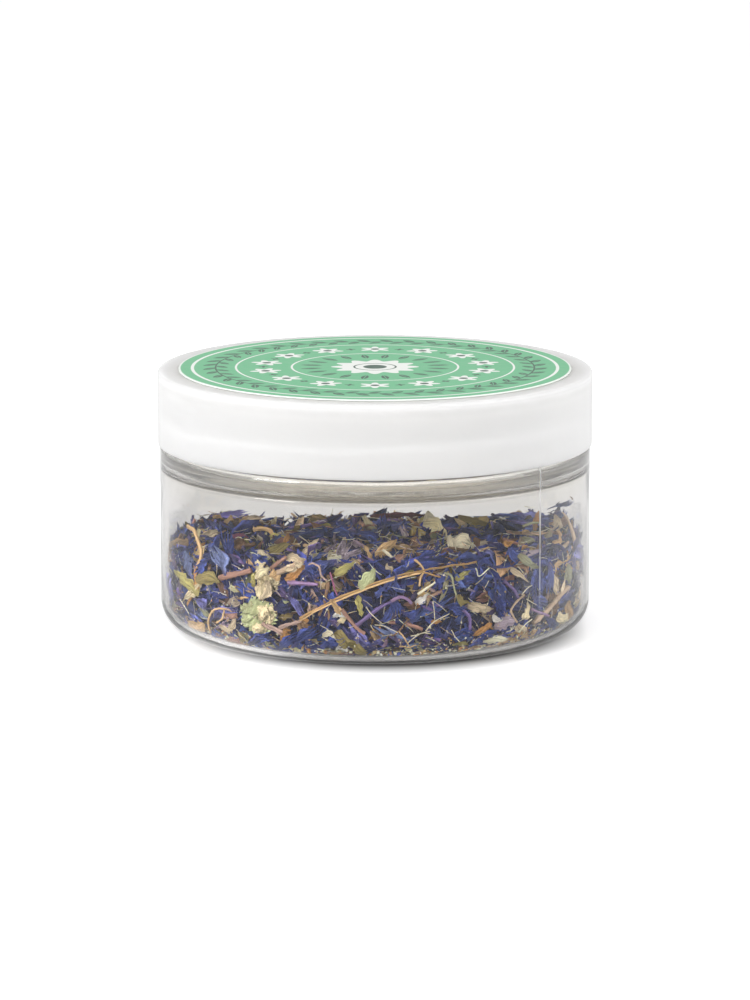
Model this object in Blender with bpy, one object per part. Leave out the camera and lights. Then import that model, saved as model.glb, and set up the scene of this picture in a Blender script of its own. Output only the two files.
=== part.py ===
"""A low screw-lid jar, half full of dried cornflower florets.

Metres, +Z up, origin at the centre of the base. The jar, the lid with its label, the foam liner and the
dried flowers are separate objects. The lid unscrews about the Z axis and rises by one thread lead per turn.
"""

import math
import random

import bmesh
import bpy
from mathutils import Matrix, Vector

mm = 0.001
turn_steps = 60  # sides of every turned piece
fit_gap = 0.3 * mm  # between pieces that touch in the real object

# Jar: an 89-400 wide-mouth jar
body_radius = 45.6 * mm
wall = 1.2 * mm
base_floor = 1.3 * mm  # height of the inner floor
base_corner = 5.8 * mm  # outer radius between base and wall
floor_corner = 4.6 * mm
resting_ring = 30.0 * mm  # inner radius of the flat ring it stands on
base_recess = 0.5 * mm
shoulder_height = 39.25 * mm
shoulder_round = 1.3 * mm
inner_shoulder_start = 34.0 * mm  # where the inner wall begins to draw in to the neck
neck_radius = 43.05 * mm
mouth_radius = 41.4 * mm
rim_height = 52.0 * mm
rim_round = 0.5 * mm

# Screw thread, single start and right handed
thread_lead = 5.08 * mm
thread_bottom = 43.2 * mm  # centre of the jar's thread where it starts
thread_crest = 44.35 * mm
thread_turn = 400  # degrees
lid_thread_crest = 43.45 * mm
lid_thread_turn = 350
lid_thread_drop = 1.65 * mm  # the lid's thread runs this far below the jar's

# Lid, with its own heights counted from its lower edge
lid_radius = 46.0 * mm
lid_edge_height = 39.6 * mm
lid_height = 15.3 * mm
lid_inner_radius = 44.75 * mm
lid_roof = 1.4 * mm
lid_round = 1.8 * mm
lid_edge_round = 0.35 * mm

liner_radius = 43.9 * mm
liner_thickness = 0.9 * mm
label_radius = 41.5 * mm
label_thickness = 0.3 * mm

# Dried flowers
inner_radius = body_radius - wall
bed_top = 17.2 * mm  # height of the core that the florets stand out of
bed_core_radius = 41.4 * mm
bed_core_floor = 2.6 * mm
blade_thickness = 0.64 * mm
floret_length = (11.5 * mm, 14.0 * mm)
floret_width = (7.5 * mm, 9.5 * mm)
floret_anchor = 0.55  # share of a floret's length that lies over its place in the pattern
top_florets = 60
side_florets = 52
floor_florets = 18
highest_floret = 24.5 * mm
golden_angle = math.pi * (3 - math.sqrt(5))


def clear_scene():
    for thing in list(bpy.data.objects):
        bpy.data.objects.remove(thing, do_unlink=True)


def material(name, colour, roughness, transmission=0.0):
    made = bpy.data.materials.new(name)
    made.use_nodes = True
    made.diffuse_color = (*colour, 1.0)
    shader = made.node_tree.nodes["Principled BSDF"]
    shader.inputs["Base Color"].default_value = (*colour, 1.0)
    shader.inputs["Roughness"].default_value = roughness
    shader.inputs["Metallic"].default_value = 0.0
    shader.inputs["Transmission Weight"].default_value = transmission
    return made


def object_from(name, shape, surface=None, smooth_angle=None):
    """Turns a bmesh into a named object of the scene and frees it."""
    bmesh.ops.recalc_face_normals(shape, faces=shape.faces)
    mesh = bpy.data.meshes.new(name)
    shape.to_mesh(mesh)
    shape.free()
    if surface:
        mesh.materials.append(surface)
    if smooth_angle:
        mesh.shade_smooth()
        mesh.set_sharp_from_angle(angle=math.radians(smooth_angle))
    made = bpy.data.objects.new(name, mesh)
    bpy.context.scene.collection.objects.link(made)
    return made


def helper(thing):
    """Marks an object that only shapes another one."""
    thing.hide_render = True
    thing.display_type = "WIRE"
    return thing


def arc(centre, radius, start, end, steps):
    """Points on a circle in the profile plane, from one angle to the other in degrees."""
    angles = [math.radians(start + (end - start) * i / steps) for i in range(steps + 1)]
    return [(centre[0] + radius * math.cos(a), centre[1] + radius * math.sin(a)) for a in angles]


def turned(profile):
    """A solid of revolution about Z. The profile runs from the axis back to the axis."""
    shape = bmesh.new()
    corners = [shape.verts.new((r, 0, z)) for r, z in profile]
    edges = [shape.edges.new(pair) for pair in zip(corners, corners[1:])]
    bmesh.ops.spin(
        shape, geom=corners + edges, cent=(0, 0, 0), axis=(0, 0, 1), angle=2 * math.pi,
        steps=turn_steps, use_merge=True,
    )
    bmesh.ops.remove_doubles(shape, verts=shape.verts, dist=0.0001 * mm)
    return shape


def helix_ridge(root, crest, root_half, crest_half, start_height, turn):
    """A thread's ridge: a tapered section swept up a right-hand helix, run out into its wall at both ends."""
    step = 360 / turn_steps
    run_out = 25  # degrees
    shape = bmesh.new()
    loops = []
    for i in range(round(turn / step) + 1):
        degrees = i * step
        grown = min(1, (degrees + step) / run_out, (turn - degrees + step) / run_out)
        tip = root + (crest - root) * (0.35 + 0.65 * grown)
        height = start_height + thread_lead * degrees / 360
        angle = math.radians(degrees)
        section = [(root, -root_half), (tip, -crest_half), (tip, crest_half), (root, root_half)]
        loops.append([
            shape.verts.new((r * math.cos(angle), r * math.sin(angle), height + z)) for r, z in section
        ])
    for low, high in zip(loops, loops[1:]):
        for a in range(4):
            b = (a + 1) % 4
            shape.faces.new((low[a], low[b], high[b]))
            shape.faces.new((low[a], high[b], high[a]))
    shape.faces.new(loops[0])
    shape.faces.new(loops[-1])
    return shape


def unite(target, other):
    join = target.modifiers.new("Thread", "BOOLEAN")
    join.operation = "UNION"
    join.solver = "EXACT"
    join.object = helper(other)


def make_jar():
    wall_top = shoulder_height - shoulder_round
    draw_in = inner_radius - mouth_radius
    outside = [
        (0, base_recess),
        (resting_ring - 1.5 * mm, base_recess),
        (resting_ring, 0),
        *arc((body_radius - base_corner, base_corner), base_corner, -90, 0, 4),
        *arc((body_radius - shoulder_round, wall_top), shoulder_round, 0, 90, 3),
        (neck_radius, shoulder_height),
        *arc((neck_radius - rim_round, rim_height - rim_round), rim_round, 0, 90, 1),
    ]
    inside = [
        (mouth_radius, rim_height),
        (mouth_radius, inner_shoulder_start + draw_in + 1.2 * mm),
        (inner_radius - 0.3 * draw_in, inner_shoulder_start + 0.75 * draw_in),
        (inner_radius, inner_shoulder_start),
        *arc((inner_radius - floor_corner, base_floor + floor_corner), floor_corner, 0, -90, 3),
        (0, base_floor),
    ]
    clear = material("clear_plastic", (0.93, 0.94, 0.93), 0.05, transmission=1.0)
    jar = object_from("jar", turned(outside + inside), clear, 40)
    ridge = helix_ridge(neck_radius - 0.5 * mm, thread_crest, 1.25 * mm, 0.55 * mm, thread_bottom, thread_turn)
    unite(jar, object_from("jar_thread", ridge))
    return jar


def make_lid():
    edge = lid_edge_round
    profile = [
        (0, lid_height),
        *arc((lid_radius - lid_round, lid_height - lid_round), lid_round, 90, 0, 5),
        *arc((lid_radius - edge, edge), edge, 0, -90, 2),
        (lid_inner_radius + 0.1 * mm, 0),
        (lid_inner_radius, 0.4 * mm),
        (lid_inner_radius, lid_height - lid_roof),
        (0, lid_height - lid_roof),
    ]
    white = material("white_plastic", (0.90, 0.90, 0.89), 0.35)
    lid = object_from("lid", turned(profile), white, 40)
    lid.location = (0, 0, lid_edge_height)
    start = thread_bottom - lid_thread_drop - lid_edge_height
    ridge = helix_ridge(
        lid_inner_radius + 0.5 * mm, lid_thread_crest, 1.0 * mm, 0.45 * mm, start, lid_thread_turn
    )
    thread = object_from("lid_thread", ridge)
    thread.parent = lid
    unite(lid, thread)
    return lid


def make_disc(name, radius, thickness, bottom, surface, parent):
    profile = [(0, bottom + thickness), (radius, bottom + thickness), (radius, bottom), (0, bottom)]
    disc = object_from(name, turned(profile), surface, 40)
    disc.parent = parent
    return disc


def make_label(lid):
    mint = material("mint_paper", (0.34, 0.62, 0.44), 0.55)
    return make_disc("label", label_radius, label_thickness, lid_height + fit_gap, mint, lid)


def make_liner(lid):
    """A foam disc between the jar's rim and the lid's roof."""
    foam = material("liner_foam", (0.86, 0.86, 0.84), 0.8)
    bottom = rim_height + fit_gap - lid_edge_height
    return make_disc("liner", liner_radius, liner_thickness, bottom, foam, lid)


def room(height):
    """How far from the axis a dried piece may reach at this height, clear of the jar."""
    reach = inner_radius - 0.4 * mm
    below = base_floor + floor_corner - height
    if below > 0:
        reach += math.sqrt(max(floor_corner**2 - below**2, 0)) - floor_corner
    return reach


def fits(points):
    """True if every point lies in the jar, clear of its wall and floor and under the highest floret."""
    return all(
        base_floor + fit_gap < p.z < highest_floret and math.hypot(p.x, p.y) < room(p.z) for p in points
    )


def on_wall(angle, height, heading, depth, rise):
    """Places (along, across, out) on a cylinder: depth is its radius at along = 0, rise its gain per metre."""
    def place(along, across, out):
        tangent = along * math.cos(heading) - across * math.sin(heading)
        upward = along * math.sin(heading) + across * math.cos(heading)
        r = depth + rise * along + out
        turn = angle + tangent / inner_radius
        return Vector((r * math.cos(turn), r * math.sin(turn), height + upward))
    return place


def in_air(root, azimuth, elevation, roll):
    """Places (along, across, out) in a straight frame that starts at root and points along the heading."""
    turned_frame = (
        Matrix.Rotation(azimuth, 3, "Z") @ Matrix.Rotation(-elevation, 3, "Y") @ Matrix.Rotation(roll, 3, "X")
    )
    def place(along, across, out):
        return root + turned_frame @ Vector((along, across, out))
    return place


# A dried floret seen flat, as shares of its length and half width: a narrow tube that opens into three lobes.
floret_outline = (
    (0.00, -0.18), (0.00, 0.18), (0.86, 1.00), (0.68, 0.34), (1.00, -0.06), (0.66, -0.38), (0.82, -1.00),
)
floret_triangles = ((0, 1, 3), (1, 2, 3), (0, 3, 5), (3, 4, 5), (0, 5, 6))
lobe_corners = (2, 4, 6)
# A bract seen flat: a pointed scale.
bract_outline = ((0.00, -0.45), (0.00, 0.45), (0.45, 1.00), (1.00, 0.00), (0.45, -1.00))
bract_triangles = ((0, 1, 2), (0, 2, 4), (4, 2, 3))


def plate_points(outline, length, half_width, lifts, place):
    """The lower and the upper corners of a thin plate of this outline, which starts where along is 0."""
    half = blade_thickness / 2
    sides = [[], []]
    for (along, across), lift in zip(outline, lifts):
        for side, out in zip(sides, (lift - half, lift + half)):
            side.append(place(along * length, across * half_width, out))
    return sides


def plate(sides, triangles):
    """A closed plate, with the same triangles on both faces."""
    shape = bmesh.new()
    low, high = ([shape.verts.new(p) for p in side] for side in sides)
    for a, b, c in triangles:
        shape.faces.new((low[c], low[b], low[a]))
        shape.faces.new((high[a], high[b], high[c]))
    for a in range(len(low)):
        b = (a + 1) % len(low)
        shape.faces.new((low[a], low[b], high[b]))
        shape.faces.new((low[a], high[b], high[a]))
    return shape


def floret(draw, length, place, curl):
    """The corners of one floret with its lobes bent out or in at random."""
    lifts = [0.0] * len(floret_outline)
    for corner in lobe_corners:
        lifts[corner] = draw.uniform(*curl)
    return plate_points(floret_outline, length, draw.uniform(*floret_width) / 2, lifts, place)


def core_top(x, y):
    """Height of the core's bumpy top."""
    return bed_top + 0.8 * mm * (math.sin(x * 230 + 1) * math.cos(y * 190) + 0.5 * math.sin(x * 90 - y * 310))


def level_root(draw, index, count, spread, length):
    """(x, y) of the root, and the azimuth, of a floret whose anchor lies in a sunflower pattern of this radius."""
    r = spread * math.sqrt((index + 0.5) / count)
    azimuth = draw.uniform(0, 2 * math.pi)
    back = floret_anchor * length
    x = r * math.cos(index * golden_angle) - back * math.cos(azimuth)
    y = r * math.sin(index * golden_angle) - back * math.sin(azimuth)
    return x, y, azimuth


def top_floret(draw, index):
    """A floret that leans out of the bed's top."""
    length = draw.uniform(*floret_length)
    x, y, azimuth = level_root(draw, index, top_florets, bed_core_radius - 3.5 * mm, length)
    root = Vector((x, y, core_top(x, y) - 1.3 * mm))
    place = in_air(root, azimuth, math.radians(draw.uniform(18, 34)), math.radians(draw.uniform(-22, 22)))
    return floret(draw, length, place, (-0.6 * mm, 1.2 * mm))


def side_floret(draw, index):
    """A floret that lies along the jar's wall."""
    length = draw.uniform(*floret_length)
    heading = draw.uniform(0, 2 * math.pi)
    back = floret_anchor * length
    angle = index * golden_angle - back * math.cos(heading) / inner_radius
    share = (index * 0.7548777) % 1
    height = 5.5 * mm + share * (bed_top - 5.5 * mm) - back * math.sin(heading)
    place = on_wall(angle, height, heading, bed_core_radius - 0.45 * mm, 0.165)
    return floret(draw, length, place, (-0.4 * mm, 0.3 * mm))


def floor_floret(draw, index):
    """A floret that lies on the jar's floor."""
    length = draw.uniform(*floret_length)
    x, y, azimuth = level_root(draw, index, floor_florets, bed_core_radius - 8 * mm, length)
    root = Vector((x, y, bed_core_floor + 0.7 * mm))
    place = in_air(root, azimuth, math.radians(-5.5), math.radians(draw.uniform(-3, 3)))
    return floret(draw, length, place, (-0.1 * mm, 0.3 * mm))


def bed_core():
    """The middle of the bed: a low drum with a rounded foot and a bumpy top."""
    sides, rings = 36, (0.30, 0.62, 0.86, 1.0)
    foot = (
        (bed_core_radius, bed_top - 1.6 * mm),
        (bed_core_radius, 9.0 * mm),
        (bed_core_radius - 1.2 * mm, 5.6 * mm),
        (bed_core_radius - 4.6 * mm, bed_core_floor),
    )
    shape = bmesh.new()
    loops = []
    for i in range(sides):
        angle = 2 * math.pi * i / sides
        column = []
        for share in rings:
            x, y = ((bed_core_radius - 0.9 * mm) * share * f(angle) for f in (math.cos, math.sin))
            column.append(shape.verts.new((x, y, core_top(x, y))))
        column += [shape.verts.new((r * math.cos(angle), r * math.sin(angle), z)) for r, z in foot]
        loops.append(column)
    crown = shape.verts.new((0, 0, core_top(0, 0)))
    sole = shape.verts.new((0, 0, bed_core_floor))
    for here, there in zip(loops, loops[1:] + loops[:1]):
        shape.faces.new((crown, here[0], there[0]))
        shape.faces.new((sole, there[-1], here[-1]))
        for a in range(len(here) - 1):
            shape.faces.new((here[a], here[a + 1], there[a + 1]))
            shape.faces.new((here[a], there[a + 1], there[a]))
    return shape


def tube(points, radius, sides=6):
    """A round rod through the points, with flat ends."""
    shape = bmesh.new()
    loops = []
    across = Vector((0, 0, 1))
    for i, point in enumerate(points):
        along = (points[min(i + 1, len(points) - 1)] - points[max(i - 1, 0)]).normalized()
        across = (across - along * across.dot(along)).normalized()
        other = along.cross(across)
        turns = [2 * math.pi * k / sides for k in range(sides)]
        loops.append([
            shape.verts.new(point + radius * (math.cos(t) * across + math.sin(t) * other)) for t in turns
        ])
    for low, high in zip(loops, loops[1:]):
        for a in range(sides):
            b = (a + 1) % sides
            shape.faces.new((low[a], low[b], high[b]))
            shape.faces.new((low[a], high[b], high[a]))
    shape.faces.new(loops[0])
    shape.faces.new(loops[-1])
    return shape


def wall_path(start, end, radius, sway, steps):
    """Points along the wall from one (angle, height) to another, arched upwards by sway halfway."""
    points = []
    for i in range(steps + 1):
        share = i / steps
        angle = math.radians(start[0] + (end[0] - start[0]) * share)
        height = start[1] + (end[1] - start[1]) * share + sway * math.sin(share * math.pi)
        points.append(Vector((radius * math.cos(angle), radius * math.sin(angle), height)))
    return points


def long_straw(extra):
    path = wall_path((-109, 9.6 * mm), (-62, 20.5 * mm), 43.15 * mm, 3.3 * mm, 12)
    return tube(path, 0.65 * mm + extra)


def short_stalk(extra):
    path = wall_path((-42, 6.2 * mm), (-24, 11.5 * mm), 43.2 * mm, 0.4 * mm, 5)
    return tube(path, 0.6 * mm + extra)


def curled_stalk(extra):
    """Stands up from the bed at the right and curls in."""
    path = []
    for i in range(11):
        share = i / 10
        bend = share * math.radians(150)
        r = 43.0 * mm - 4.0 * mm * (1 - math.cos(bend)) / 2
        height = 13.5 * mm + 11.0 * mm * math.sin(bend * 0.62)
        angle = math.radians(-13 + 9 * share)
        path.append(Vector((r * math.cos(angle), r * math.sin(angle), height)))
    return tube(path, 0.6 * mm + extra)


def flower_base(extra):
    """The scalloped seat of a flower head, flat against the wall with its eye outwards."""
    centre = on_wall(math.radians(-122), 10.4 * mm, 0, 43.1 * mm, 0)
    lobes, radius = 9, 3.5 * mm
    shape = bmesh.new()
    back, front, eye = [], [], []
    for i in range(4 * lobes):
        angle = 2 * math.pi * i / (4 * lobes)
        reach = radius * (1 - 0.13 * (i % 4 == 0)) + extra
        x, y = math.cos(angle), math.sin(angle)
        back.append(shape.verts.new(centre(x * reach, y * reach, -0.8 * mm - extra)))
        front.append(shape.verts.new(centre(x * reach, y * reach, 0.15 * mm + extra)))
        eye.append(shape.verts.new(centre(x * reach * 0.5, y * reach * 0.5, 0.6 * mm + 3 * extra)))
    for a in range(len(back)):
        b = (a + 1) % len(back)
        for low, high in ((back, front), (front, eye)):
            shape.faces.new((low[a], low[b], high[b]))
            shape.faces.new((low[a], high[b], high[a]))
    shape.faces.new(back)
    shape.faces.new(eye)
    return shape


def seed_head(extra):
    """A round head covered by rows of low scales, raised by a formula."""
    centre = Vector((41.2 * mm * math.cos(math.radians(-121)), 41.2 * mm * math.sin(math.radians(-121)), 17.6 * mm))
    shape = bmesh.new()
    bmesh.ops.create_uvsphere(shape, u_segments=16, v_segments=9, radius=1)
    for corner in shape.verts:
        turn = math.atan2(corner.co.y, corner.co.x)
        row = math.acos(max(-1, min(1, corner.co.z))) / math.pi
        scale = 1 + 0.07 * math.sin(row * 9 * math.pi / 2) * math.cos(8 * turn)
        corner.co *= 2.55 * mm * scale + extra
        corner.co.z *= 1.1
        corner.co += centre
    return shape


def bract_cluster(extra):
    """Four bracts fanned out of one foot, flat against the wall."""
    blades = []
    for i, fan in enumerate((-38, -10, 18, 48)):
        place = on_wall(
            math.radians(-151), 8.6 * mm, math.radians(90 + fan), 42.3 * mm + 0.1 * mm * i, 0.12
        )
        sides = plate_points(
            bract_outline, 6.6 * mm + extra, 1.5 * mm + extra, [0.0, 0.0, 0.25 * mm, 0.1 * mm, 0.25 * mm], place
        )
        if extra:
            sides[0] = [p * ((p.length - extra) / p.length) for p in sides[0]]
            sides[1] = [p * ((p.length + 2 * extra) / p.length) for p in sides[1]]
        blades.append(object_from("bract", plate(sides, bract_triangles)))
    foot = tube(wall_path((-151, 7.4 * mm - extra), (-151, 9.8 * mm), 42.75 * mm, 0, 2), 0.75 * mm + extra)
    return combined("UNION", object_from("bract_foot", foot), blades)


def combined(operation, target, others):
    """Joins the others to the target, or cuts them from it, in one Boolean, and removes them."""
    group = bpy.data.collections.new("Boolean")
    bpy.context.scene.collection.children.link(group)
    for other in others:
        bpy.context.scene.collection.objects.unlink(other)
        group.objects.link(other)
    step = target.modifiers.new("Boolean", "BOOLEAN")
    step.operation = operation
    step.solver = "EXACT"
    step.operand_type = "COLLECTION"
    step.collection = group
    graph = bpy.context.evaluated_depsgraph_get()
    mesh = bpy.data.meshes.new_from_object(target.evaluated_get(graph))
    target.modifiers.clear()
    for other in others:
        bpy.data.objects.remove(other, do_unlink=True)
    bpy.data.collections.remove(group)
    shape = bmesh.new()
    shape.from_mesh(mesh)
    bpy.data.objects.remove(target, do_unlink=True)
    return shape


def without_scraps(shape):
    """Drops every loose piece but the largest."""
    left, pieces = set(shape.verts), []
    while left:
        piece, edge_of = set(), [next(iter(left))]
        while edge_of:
            corner = edge_of.pop()
            if corner not in piece:
                piece.add(corner)
                edge_of += [e.other_vert(corner) for e in corner.link_edges]
        pieces.append(piece)
        left -= piece
    largest = max(pieces, key=len)
    bmesh.ops.delete(shape, geom=[v for v in shape.verts if v not in largest], context="VERTS")
    return shape


def make_florets(pieces):
    """The bed of florets, one body, with a clear hollow round each of the other dried pieces."""
    draw = random.Random(11)
    blades = []
    for kind, count in ((top_floret, top_florets), (side_floret, side_florets), (floor_floret, floor_florets)):
        for index in range(count):
            tries = (kind(draw, index) for _ in range(60))
            sides = next((t for t in tries if fits(t[0] + t[1])), None)
            if sides:
                blades.append(object_from("floret", plate(sides, floret_triangles)))
    bed = combined("UNION", object_from("core", bed_core()), blades)
    hollows = [object_from("hollow", piece(fit_gap + 0.05 * mm)) for piece in pieces]
    cut = combined("DIFFERENCE", object_from("bed", bed), hollows)
    blue = material("dried_florets", (0.045, 0.05, 0.20), 0.75)
    return object_from("florets", without_scraps(cut), blue)


def make_dried_flowers(jar):
    straw = material("dried_stalk", (0.36, 0.22, 0.12), 0.6)
    green = material("dried_bract", (0.55, 0.50, 0.25), 0.65)
    tan = material("seed_head", (0.58, 0.42, 0.20), 0.7)
    pieces = {
        long_straw: straw,
        short_stalk: straw,
        curled_stalk: straw,
        flower_base: green,
        seed_head: tan,
        bract_cluster: green,
    }
    contents = [make_florets(pieces)]
    contents += [object_from(piece.__name__, piece(0.0), surface) for piece, surface in pieces.items()]
    for thing in contents:
        thing.parent = jar


clear_scene()
jar = make_jar()
make_dried_flowers(jar)
lid = make_lid()
make_label(lid)
make_liner(lid)
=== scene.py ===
import math

import bmesh
import bpy
import numpy as np
from mathutils import Matrix, Vector


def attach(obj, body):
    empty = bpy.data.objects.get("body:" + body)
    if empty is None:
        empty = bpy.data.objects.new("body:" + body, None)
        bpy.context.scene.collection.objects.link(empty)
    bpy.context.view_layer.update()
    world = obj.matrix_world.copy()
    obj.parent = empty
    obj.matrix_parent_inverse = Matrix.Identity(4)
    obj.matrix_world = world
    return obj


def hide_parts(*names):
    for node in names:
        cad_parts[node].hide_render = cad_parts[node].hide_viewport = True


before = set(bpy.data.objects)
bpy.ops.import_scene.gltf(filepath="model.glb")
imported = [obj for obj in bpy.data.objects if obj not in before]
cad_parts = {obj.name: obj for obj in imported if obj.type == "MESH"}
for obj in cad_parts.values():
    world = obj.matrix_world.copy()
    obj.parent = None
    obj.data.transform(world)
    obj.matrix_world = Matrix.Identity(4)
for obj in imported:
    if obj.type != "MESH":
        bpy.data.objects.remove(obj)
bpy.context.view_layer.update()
scene = bpy.context.scene
mm = 0.001


# Shapes are worked out in millimetres and turned into metres when a mesh is made.

def finishMesh(name, shape):
    bmesh.ops.recalc_face_normals(shape, faces=shape.faces)
    mesh = bpy.data.meshes.new(name)
    shape.to_mesh(mesh)
    shape.free()
    mesh.polygons.foreach_set("use_smooth", [True] * len(mesh.polygons))
    return mesh


def addPiece(name, mesh, body, material):
    piece = bpy.data.objects.new(name, mesh)
    scene.collection.objects.link(piece)
    mesh.materials.append(material)
    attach(piece, body)
    return piece


def partWay(start, end, share):
    return tuple(a + (b - a) * share for a, b in zip(start, end))


def arc(across, up, radius, start, end, steps):
    turns = [math.radians(start + (end - start) * i / steps) for i in range(steps + 1)]
    return [(across + radius * math.cos(turn), up + radius * math.sin(turn)) for turn in turns]


def straight(start, end, steps):
    return [partWay(start, end, i / steps) for i in range(steps + 1)]


def withRests(outline, gap):
    # Adds a point close to each end of a long run, so that smooth shading stays flat between them.
    rows = [outline[0]]
    for start, end in zip(outline, outline[1:]):
        run = math.dist(start, end)
        if run > 4 * gap:
            rows += [partWay(start, end, share) for share in (gap / run, 1 - gap / run)]
        rows.append(end)
    return rows


def turned(name, outline, steps):
    shape = bmesh.new()
    row = [shape.verts.new((radius * mm, 0, height * mm)) for radius, height in outline]
    line = [shape.edges.new(pair) for pair in zip(row, row[1:])]
    bmesh.ops.spin(
        shape, geom=row + line, cent=(0, 0, 0), axis=(0, 0, 1), angle=math.tau, steps=steps, use_merge=True
    )
    bmesh.ops.remove_doubles(shape, verts=shape.verts, dist=1e-7)
    return finishMesh(name, shape)


def readPoints(mesh):
    points = np.empty(len(mesh.vertices) * 3, np.float32)
    mesh.vertices.foreach_get("co", points)
    return points.reshape(-1, 3).astype(float) / mm


def writePoints(mesh, points):
    mesh.vertices.foreach_set("co", (points * mm).astype(np.float32).ravel())
    mesh.update()


def raiseThread(mesh, thread):
    # Pushes a helical ridge out of the wall, or into it where its height is negative.
    points = readPoints(mesh)
    radius = np.hypot(points[:, 0], points[:, 1])
    turn = np.degrees(np.arctan2(points[:, 1], points[:, 0])) % 360
    rise = np.zeros(len(points))
    for lap in (0, 360):
        ahead = turn + lap
        middle = thread["start"] + thread["lead"] * ahead / 360
        side = (thread["foot"] - np.abs(points[:, 2] - middle)) / (thread["foot"] - thread["crest"])
        side = np.clip(side, 0, 1)
        ends = np.clip(np.minimum(ahead, thread["turn"] - ahead) / thread["runOut"], 0, 1)
        rise = np.maximum(rise, side * side * (3 - 2 * side) * ends)
    onWall = np.abs(radius - thread["wall"]) < 0.01
    grown = radius + np.where(onWall, rise * thread["height"], 0)
    points[:, :2] *= (grown / np.maximum(radius, 1e-6))[:, None]
    writePoints(mesh, points)


# Node materials.

def newMaterial(name):
    material = bpy.data.materials.new(name)
    material.use_nodes = True
    tree = material.node_tree
    tree.nodes.clear()
    output = tree.nodes.new("ShaderNodeOutputMaterial")
    shader = tree.nodes.new("ShaderNodeBsdfPrincipled")
    tree.links.new(shader.outputs[0], output.inputs["Surface"])
    return material, tree, shader


def feed(tree, node, key, value):
    if isinstance(value, bpy.types.NodeSocket):
        tree.links.new(value, node.inputs[key])
    else:
        node.inputs[key].default_value = value


def put(tree, kind, inputs, **fields):
    node = tree.nodes.new("ShaderNode" + kind)
    for field, value in fields.items():
        setattr(node, field, value)
    for key, value in inputs.items():
        feed(tree, node, key, value)
    return node


def calc(tree, operation, *values):
    return put(tree, "Math", dict(enumerate(values)), operation=operation).outputs[0]


def times(tree, first, *others):
    for value in others:
        first = calc(tree, "MULTIPLY", first, value)
    return first


def between(tree, value, low, high, outLow=0.0, outHigh=1.0, interpolation="SMOOTHSTEP"):
    inputs = {0: value, 1: low, 2: high, 3: outLow, 4: outHigh}
    return put(tree, "MapRange", inputs, interpolation_type=interpolation).outputs[0]


def ramp(tree, value, stops):
    node = put(tree, "ValToRGB", {0: value})
    points = node.color_ramp.elements
    while len(points) < len(stops):
        points.new(0.5)
    for point, (place, colour) in zip(points, stops):
        point.position = place
        point.color = (*colour, 1)
    return node.outputs[0]


def mixColour(tree, share, first, second, mode="MIX"):
    def whole(colour):
        return (*colour, 1) if isinstance(colour, tuple) else colour

    inputs = {0: share, 6: whole(first), 7: whole(second)}
    return put(tree, "Mix", inputs, data_type="RGBA", blend_type=mode).outputs[2]


def alike(tree, value):
    return put(tree, "CombineXYZ", {0: value, 1: value, 2: value}).outputs[0]


def dimmed(tree, colour, value):
    return mixColour(tree, 1.0, colour, alike(tree, value), "MULTIPLY")


def place(tree, kind="Object"):
    return put(tree, "TexCoord", {}).outputs[kind]


def far(tree, where, spot):
    return put(tree, "VectorMath", {0: where, 1: spot}, operation="DISTANCE").outputs["Value"]


def noise(tree, where, scale, detail, roughness=0.55, stretch=None):
    if stretch:
        where = put(tree, "Mapping", {"Vector": where, "Scale": stretch}).outputs[0]
    inputs = {"Vector": where, "Scale": scale, "Detail": detail, "Roughness": roughness}
    return put(tree, "TexNoise", inputs).outputs[0]


def bump(tree, shader, height, distance, strength=1.0):
    node = put(tree, "Bump", {"Height": height, "Distance": distance, "Strength": strength})
    tree.links.new(node.outputs[0], shader.inputs["Normal"])


# The jar: clear and a little warm, with one line where its mould parted.

jarForm = {
    "radius": 45.6,
    "inner": 44.85,
    "ring": 30.0,
    "recess": 0.5,
    "floor": 1.1,
    "corner": 5.8,
    "floorCorner": 4.85,
    "shoulder": 39.25,
    "shoulderRound": 1.3,
    "neck": 43.05,
    "mouth": 41.4,
    "rim": 52.0,
    "rimRound": 0.5,
    "easeLow": 34.0,
    "easeHigh": 38.2,
    "steps": 240,
}
jarThread = {
    "wall": jarForm["neck"], "height": 1.3, "start": 43.2, "lead": 5.08,
    "turn": 400, "runOut": 25, "foot": 1.06, "crest": 0.5,
}
jarLook = {
    "tint": [(0.3, (0.875, 0.865, 0.85)), (0.7, (0.895, 0.885, 0.875))],
    # Painted light on the shoulder, and painted shade at the sides and in a band low on the shoulder:
    "shoulderPaintedLight": (0.96, 0.93, 0.865),
    "sidePaintedShade": (0.84, 0.83, 0.80),
    "bandPaintedShade": (0.68, 0.66, 0.63),
    # The seam is real; its lighter colour is partly a painted glint.
    "seamWithPaintedGlint": (0.95, 0.95, 0.94),
    "seamAngle": -41.6,
    "seamWidth": 0.1,
    "seamFade": 0.34,
    "seamHaze": 0.17,
    "shoulderHaze": 0.1,
    "baseShade": (0.8, 0.8, 0.8),
}


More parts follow.
